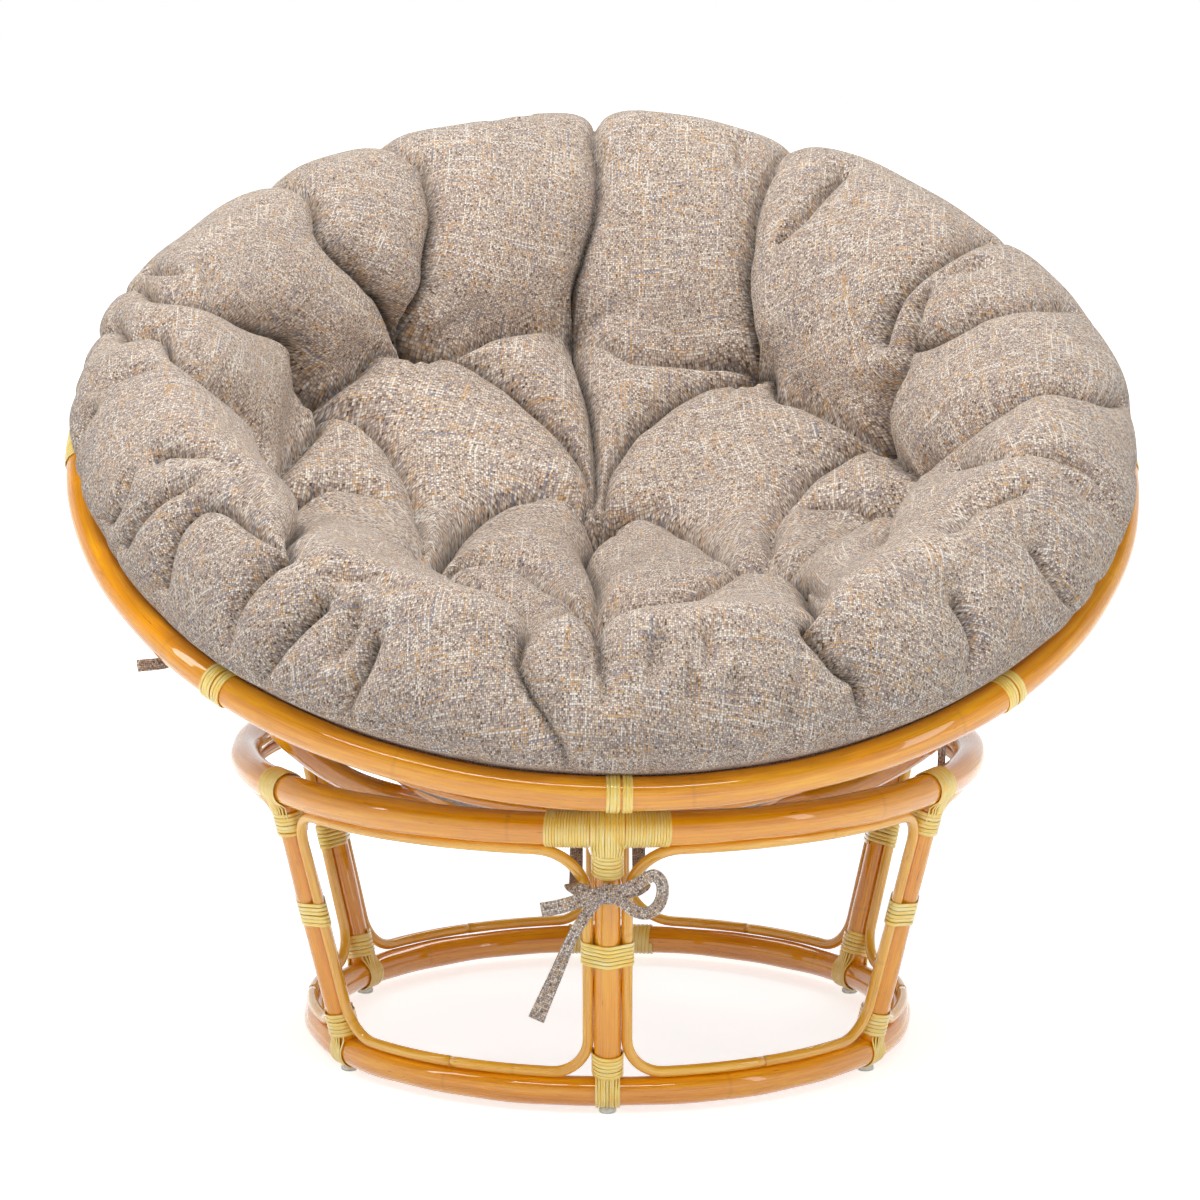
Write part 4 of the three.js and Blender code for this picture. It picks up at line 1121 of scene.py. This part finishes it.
def yarn_set(tree, axes, across, along, seed):
    """The yarns of one direction: their colour, how high they stand, and where and in what colour a slub
    runs. Each is mottled every few millimetres, and slubs some 20 mm long come at random."""
    lane = add(tree, "Math", {0: axes[across], 1: yarn_pitch}, operation="DIVIDE")
    number = add(tree, "Math", {0: lane}, operation="FLOOR")
    short = add(tree, "Math", {0: axes[along], 1: 330.0}, operation="MULTIPLY")
    spot = add(tree, "CombineXYZ", {0: number, 1: short, 2: seed})
    mottle = add(tree, "TexNoise", {"Vector": spot, "Scale": 1.0, "Detail": 1.5, "Roughness": 0.6})
    greys = ((0.30, "#65503f"), (0.41, "#ab917c"), (0.47, "#b4acb0"))
    creams = ((0.52, "#d4baa0"), (0.59, "#eddcc9"), (0.68, "#fdf8f0"))
    base = ramp(add(tree, "ValToRGB", {0: mottle}), *greys, *creams)
    long = add(tree, "Math", {0: axes[along], 1: 13.0}, operation="MULTIPLY")
    stretch = add(tree, "CombineXYZ", {0: number, 1: long, 2: seed * 5})
    slub = add(tree, "TexNoise", {"Vector": stretch, "Scale": 1.0, "Detail": 1.0})
    shown = ramp(add(tree, "ValToRGB", {0: slub}), (0.27, 0.8), (0.31, 0.0), (0.61, 0.0), (0.65, 0.85))
    dyes = ((0.27, "#858b9e"), (0.5, "#e2ac60"), (0.655, "#e6b068"), (0.67, "#fbf4ea"))
    dyed = ramp(add(tree, "ValToRGB", {0: slub}), *dyes)
    within = add(tree, "Math", {0: lane}, operation="FRACT")
    half_turn = add(tree, "Math", {0: within, 1: math.pi}, operation="MULTIPLY")
    crown = add(tree, "Math", {0: half_turn}, operation="SINE")
    colour = add(tree, "Mix", {0: shown, 6: base, 7: dyed}, data_type="RGBA").outputs[2]
    return colour, crown, add(tree, "Math", {0: shown, 1: 0.1}, operation="MULTIPLY"), dyed


def slub_tweed():
    """Heavy upholstery tweed in a plain weave: mottled warm grey yarns with long thin slubs of ochre and
    white both ways. One yarn of each pair lies on top at each crossing, and the gaps between the yarns are
    darkened as painted shade; the cloth inside the creases and at the tufts is darkened too, as painted
    shade. The yarns are drawn 2 mm apart, coarser than in life, so that they show."""
    material, tree = bare_material("slub_tweed")
    cloth = add(tree, "UVMap", uv_map="cloth")
    wobble = add(tree, "TexNoise", {"Vector": cloth, "Scale": 7.0, "Detail": 1.5}).outputs["Color"]
    bent = add(tree, "VectorMath", {0: wobble, 1: (0.012, 0.012, 0.0)}, operation="MULTIPLY")
    place = add(tree, "VectorMath", {0: cloth, 1: bent}, operation="ADD")
    axes = add(tree, "SeparateXYZ", {0: place}).outputs
    warp, weft = yarn_set(tree, axes, 0, 1, 3.1), yarn_set(tree, axes, 1, 0, 7.7)
    squares = {"Color1": (0, 0, 0, 1), "Color2": (1, 1, 1, 1), "Scale": 1 / yarn_pitch}
    flat = add(tree, "CombineXYZ", {0: axes[0], 1: axes[1]})
    over = add(tree, "TexChecker", {"Vector": flat, **squares}).outputs["Fac"]
    colour = add(tree, "Mix", {0: over, 6: warp[0], 7: weft[0]}, data_type="RGBA").outputs[2]
    height = add(tree, "Mix", {0: over, 2: warp[1], 3: weft[1]}, data_type="FLOAT")
    for _, _, through, dyed in (warp, weft):
        colour = add(tree, "Mix", {0: through, 6: colour, 7: dyed}, data_type="RGBA").outputs[2]
    # Painted shade: the gaps between the yarns, where the height is low, darkened to 0.42 of the yarn's
    # colour.
    gap_shade = {"From Min": 0.0, "From Max": 0.75, "To Min": 0.42, "To Max": 1.0}
    gap = add(tree, "MapRange", {"Value": height, **gap_shade})
    shaded = add(tree, "VectorMath", {0: colour, "Scale": gap}, operation="SCALE")
    patches = add(tree, "TexNoise", {"Vector": cloth, "Scale": 9.0, "Detail": 3.0})
    tone = ramp(add(tree, "ValToRGB", {0: patches}), (0.3, 0.92), (0.6, 1.0))
    both = {0: 1.0, 6: shaded, 7: tone}
    washed = add(tree, "Mix", both, data_type="RGBA", blend_type="MULTIPLY").outputs[2]
    # Painted shade: the cloth inside creases and at tufts darkened down to 0.22 of its colour.
    fold_shade = add(tree, "Attribute", attribute_name="fold_shade").outputs["Fac"]
    fold_shade_range = {"From Min": 0.15, "From Max": 1.0, "To Min": 1.0, "To Max": 0.22}
    shut = add(tree, "MapRange", {"Value": fold_shade, **fold_shade_range})
    fuzz = add(tree, "TexNoise", {"Vector": cloth, "Scale": 900.0, "Detail": 2.0})
    relief = add(tree, "Math", {0: fuzz, 1: 0.5, 2: height}, operation="MULTIPLY_ADD")
    surface = {
        "Base Color": add(tree, "VectorMath", {0: washed, "Scale": shut}, operation="SCALE"),
        "Roughness": 0.92,
        "IOR": 1.5,
        "Specular IOR Level": 0.25,
        "Sheen Weight": 0.3,
        "Sheen Roughness": 0.5,
        "Sheen Tint": linear("#ece2d6"),
        "Normal": add(tree, "Bump", {"Height": relief, "Strength": 0.7, "Distance": 0.0009}),
    }
    add(tree, "OutputMaterial", {"Surface": add(tree, "BsdfPrincipled", surface)})
    return material


tweed = slub_tweed()
cushion = cushion_mesh(tweed)
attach(cushion, "bowl")
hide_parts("cushion")


# The ties: flat tapes of the same cloth, folded and stitched, sewn into the cushion's seams. Two pass from
# under it to the front post and end there in a bow; one hangs over the rim at the left, one by a rib.
section_width, tape_thickness = 0.012, 0.0028
tape_round = compass(np.arange(20) * math.pi / 10)
tape_section = [section_width / 2, tape_thickness / 2] * np.sign(tape_round) * np.abs(tape_round) ** 0.6


def tape_part(route, out, width, swell=None):
    """A flat tape with rounded edges carried along a smooth curve, its flat side facing out."""
    path = smooth_through(route, 6)
    out = np.broadcast_to(out, np.shape(route))
    place = np.linspace(0, len(out) - 1, len(path))
    facing = np.stack([np.interp(place, np.arange(len(out)), out[:, k]) for k in range(3)], -1)
    return path, carried(path, facing, tape_section * [width / section_width, 1], swell=swell)


def tape_object(name, parts, body, *stands_for):
    """A piece in the tweed, its cloth map along and across the tape."""
    made = piece(name, parts, tweed, "tweed", body, *stands_for)
    cloth = np.concatenate([p[2][:, [2, 0]] + [0, 0.3] for p in parts])
    corners = np.empty(len(made.data.loops), int)
    made.data.loops.foreach_get("vertex_index", corners)
    layer = made.data.uv_layers.new(name="cloth")
    layer.data.foreach_set("uv", cloth[corners].astype(np.float32).ravel())
    return made


def declared(path, width, least=0.0):
    """Works out the route's first point and its length, or the least that its kind has, and keeps neither."""
    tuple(path[0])
    max(float(run_along(path)[-1]), least)


strap_width = 0.013
strap_route = np.array([
    [30, -145.9, 255.4], [30.6, -147.8, 248.4], [31, -151.5, 241], [31, -161, 230], [31, -175, 222],
    [31, -195, 218], [31, -222, 217], [31, -256, 220], [31, -288, 225], [31, -318, 231],
    [34.5, -345, 238], [34, -361.5, 241], [27, -375, 241], [17.5, -379.5, 240],
]) / 1000
strap_facing = np.array([[0, 0.25, 1.0]] * 10 + [[0, -0.2, 1], [0, -0.8, 0.7], [0, -1, 0.3], [0, -1, 0.2]])
for name, side in (("tie_strap_right", 1), ("tie_strap_left", -1)):
    path, part = tape_part(strap_route * [side, 1, 1] + stand_axis, strap_facing, strap_width)
    strap = tape_object(name + "_tape", [part], None, name)
    declared(path, strap_width)
    tuple(path[0])
    tuple(path[-1])
    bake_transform(strap)

loop_route = np.array([
    [2, -383, 240], [17, -389, 245], [32, -388, 252], [44, -388, 258], [51, -386, 251], [52, -384, 238],
    [47, -383, 226], [38, -383, 220], [27, -384, 222], [15, -384.3, 231], [2, -384, 238],
]) / 1000
left_route = np.array([
    [-2, -384, 240], [-14, -387.5, 238], [-30, -392, 233], [-47, -391, 228], [-63, -391, 225],
]) / 1000
tail_route = np.array([
    [-2, -384, 238], [-11, -387, 231], [-22, -388, 217], [-33, -386, 198],
    [-42, -383, 177], [-51, -381, 155], [-60, -380, 134], [-68, -380, 115],
]) / 1000
knot_radius, knot_place = 0.0095, np.array([0, -0.383, 0.239])


def knot_part():
    """A round knot, wider than deep, its folds two waves round it."""
    rows, columns = 18, 30
    up = np.linspace(-math.pi / 2 + 0.1, math.pi / 2 - 0.1, rows)[:, None]
    around = np.arange(columns)[None] * 2 * math.pi / columns
    reach = knot_radius + 0.0009 * np.sin(3 * around + 2 * up) + 0.0006 * np.sin(7 * around)
    level = reach * np.cos(up)
    points = np.stack([level * np.cos(around), 0.8 * level * np.sin(around), reach * np.sin(up)], -1)
    flat = (points + knot_place + stand_axis).reshape(-1, 3)
    return flat, closed_faces(rows, columns, -1), flat - flat.mean(0)


loop_width, end_width, tail_width = 0.012, 0.014, 0.013
tail_swell = np.interp(np.arange(43), [0, 20, 42], [0.8, 0.85, 1.25])
loop_path, loop_part = tape_part(loop_route + stand_axis, np.array([0, -1, 0.25]), loop_width)
_, end_part = tape_part(left_route + stand_axis, np.array([0, -1, 0.2]), end_width)
tail_path, tail_part = tape_part(tail_route + stand_axis, np.array([0, -1, 0.2]), tail_width, tail_swell)
tail = tape_object("bow_tail", [tail_part], "stand")
tape_object("tied_bow", [knot_part(), end_part], "stand", "front_bow")
loop = tape_object("bow_loop", [loop_part], "stand")
declared(loop_path, loop_width)
declared(tail_path, tail_width)


def bowl_route(route):
    """Radius (mm), azimuth (degrees) and depth below the rim (mm) to points in the room, in metres."""
    radius, turn, depth = np.array(route).T
    turn = np.radians(turn)
    return in_bowl(np.stack([radius * np.cos(turn), radius * np.sin(turn), -depth], -1) / 1000)


side_width, side_least = 0.0119, 0.0715
left_tie_route = bowl_route([
    [480.6, -143.5, 17.7], [486.3, -143.5, 22.3], [491.5, -143.5, 26.5], [500, -143.6, 33],
    [513, -143.7, 37], [531, -143.8, 36], [552, -144.2, 32], [556, -144.3, 31.5],
])
left_facing = np.array([[0.2, -0.4, 1.0]] * 3 + [[0.15, -0.8, 0.7]] + [[0.1, -1.0, 0.3]] * 4)
path, part = tape_part(left_tie_route, left_facing, side_width)
left_tie = tape_object("left_tie_tape", [part], "bowl", "left_tie")
declared(path, side_width, side_least)

right_tie_route = bowl_route([
    [398.1, -32.8, 133.1], [403.8, -32.8, 137.7], [409, -32.9, 142], [415, -33.2, 148], [419, -33.8, 156],
    [423, -34.5, 167], [427, -35.2, 178], [430.5, -35.8, 190], [432, -36, 195],
])
path, part = tape_part(right_tie_route, np.array([0.7, -0.6, 0.4]), side_width)
right_tie = tape_object("right_tie_tape", [part], None, "right_tie")
declared(path, side_width, side_least)
tuple(path[0])
tuple(path[-1])
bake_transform(right_tie)
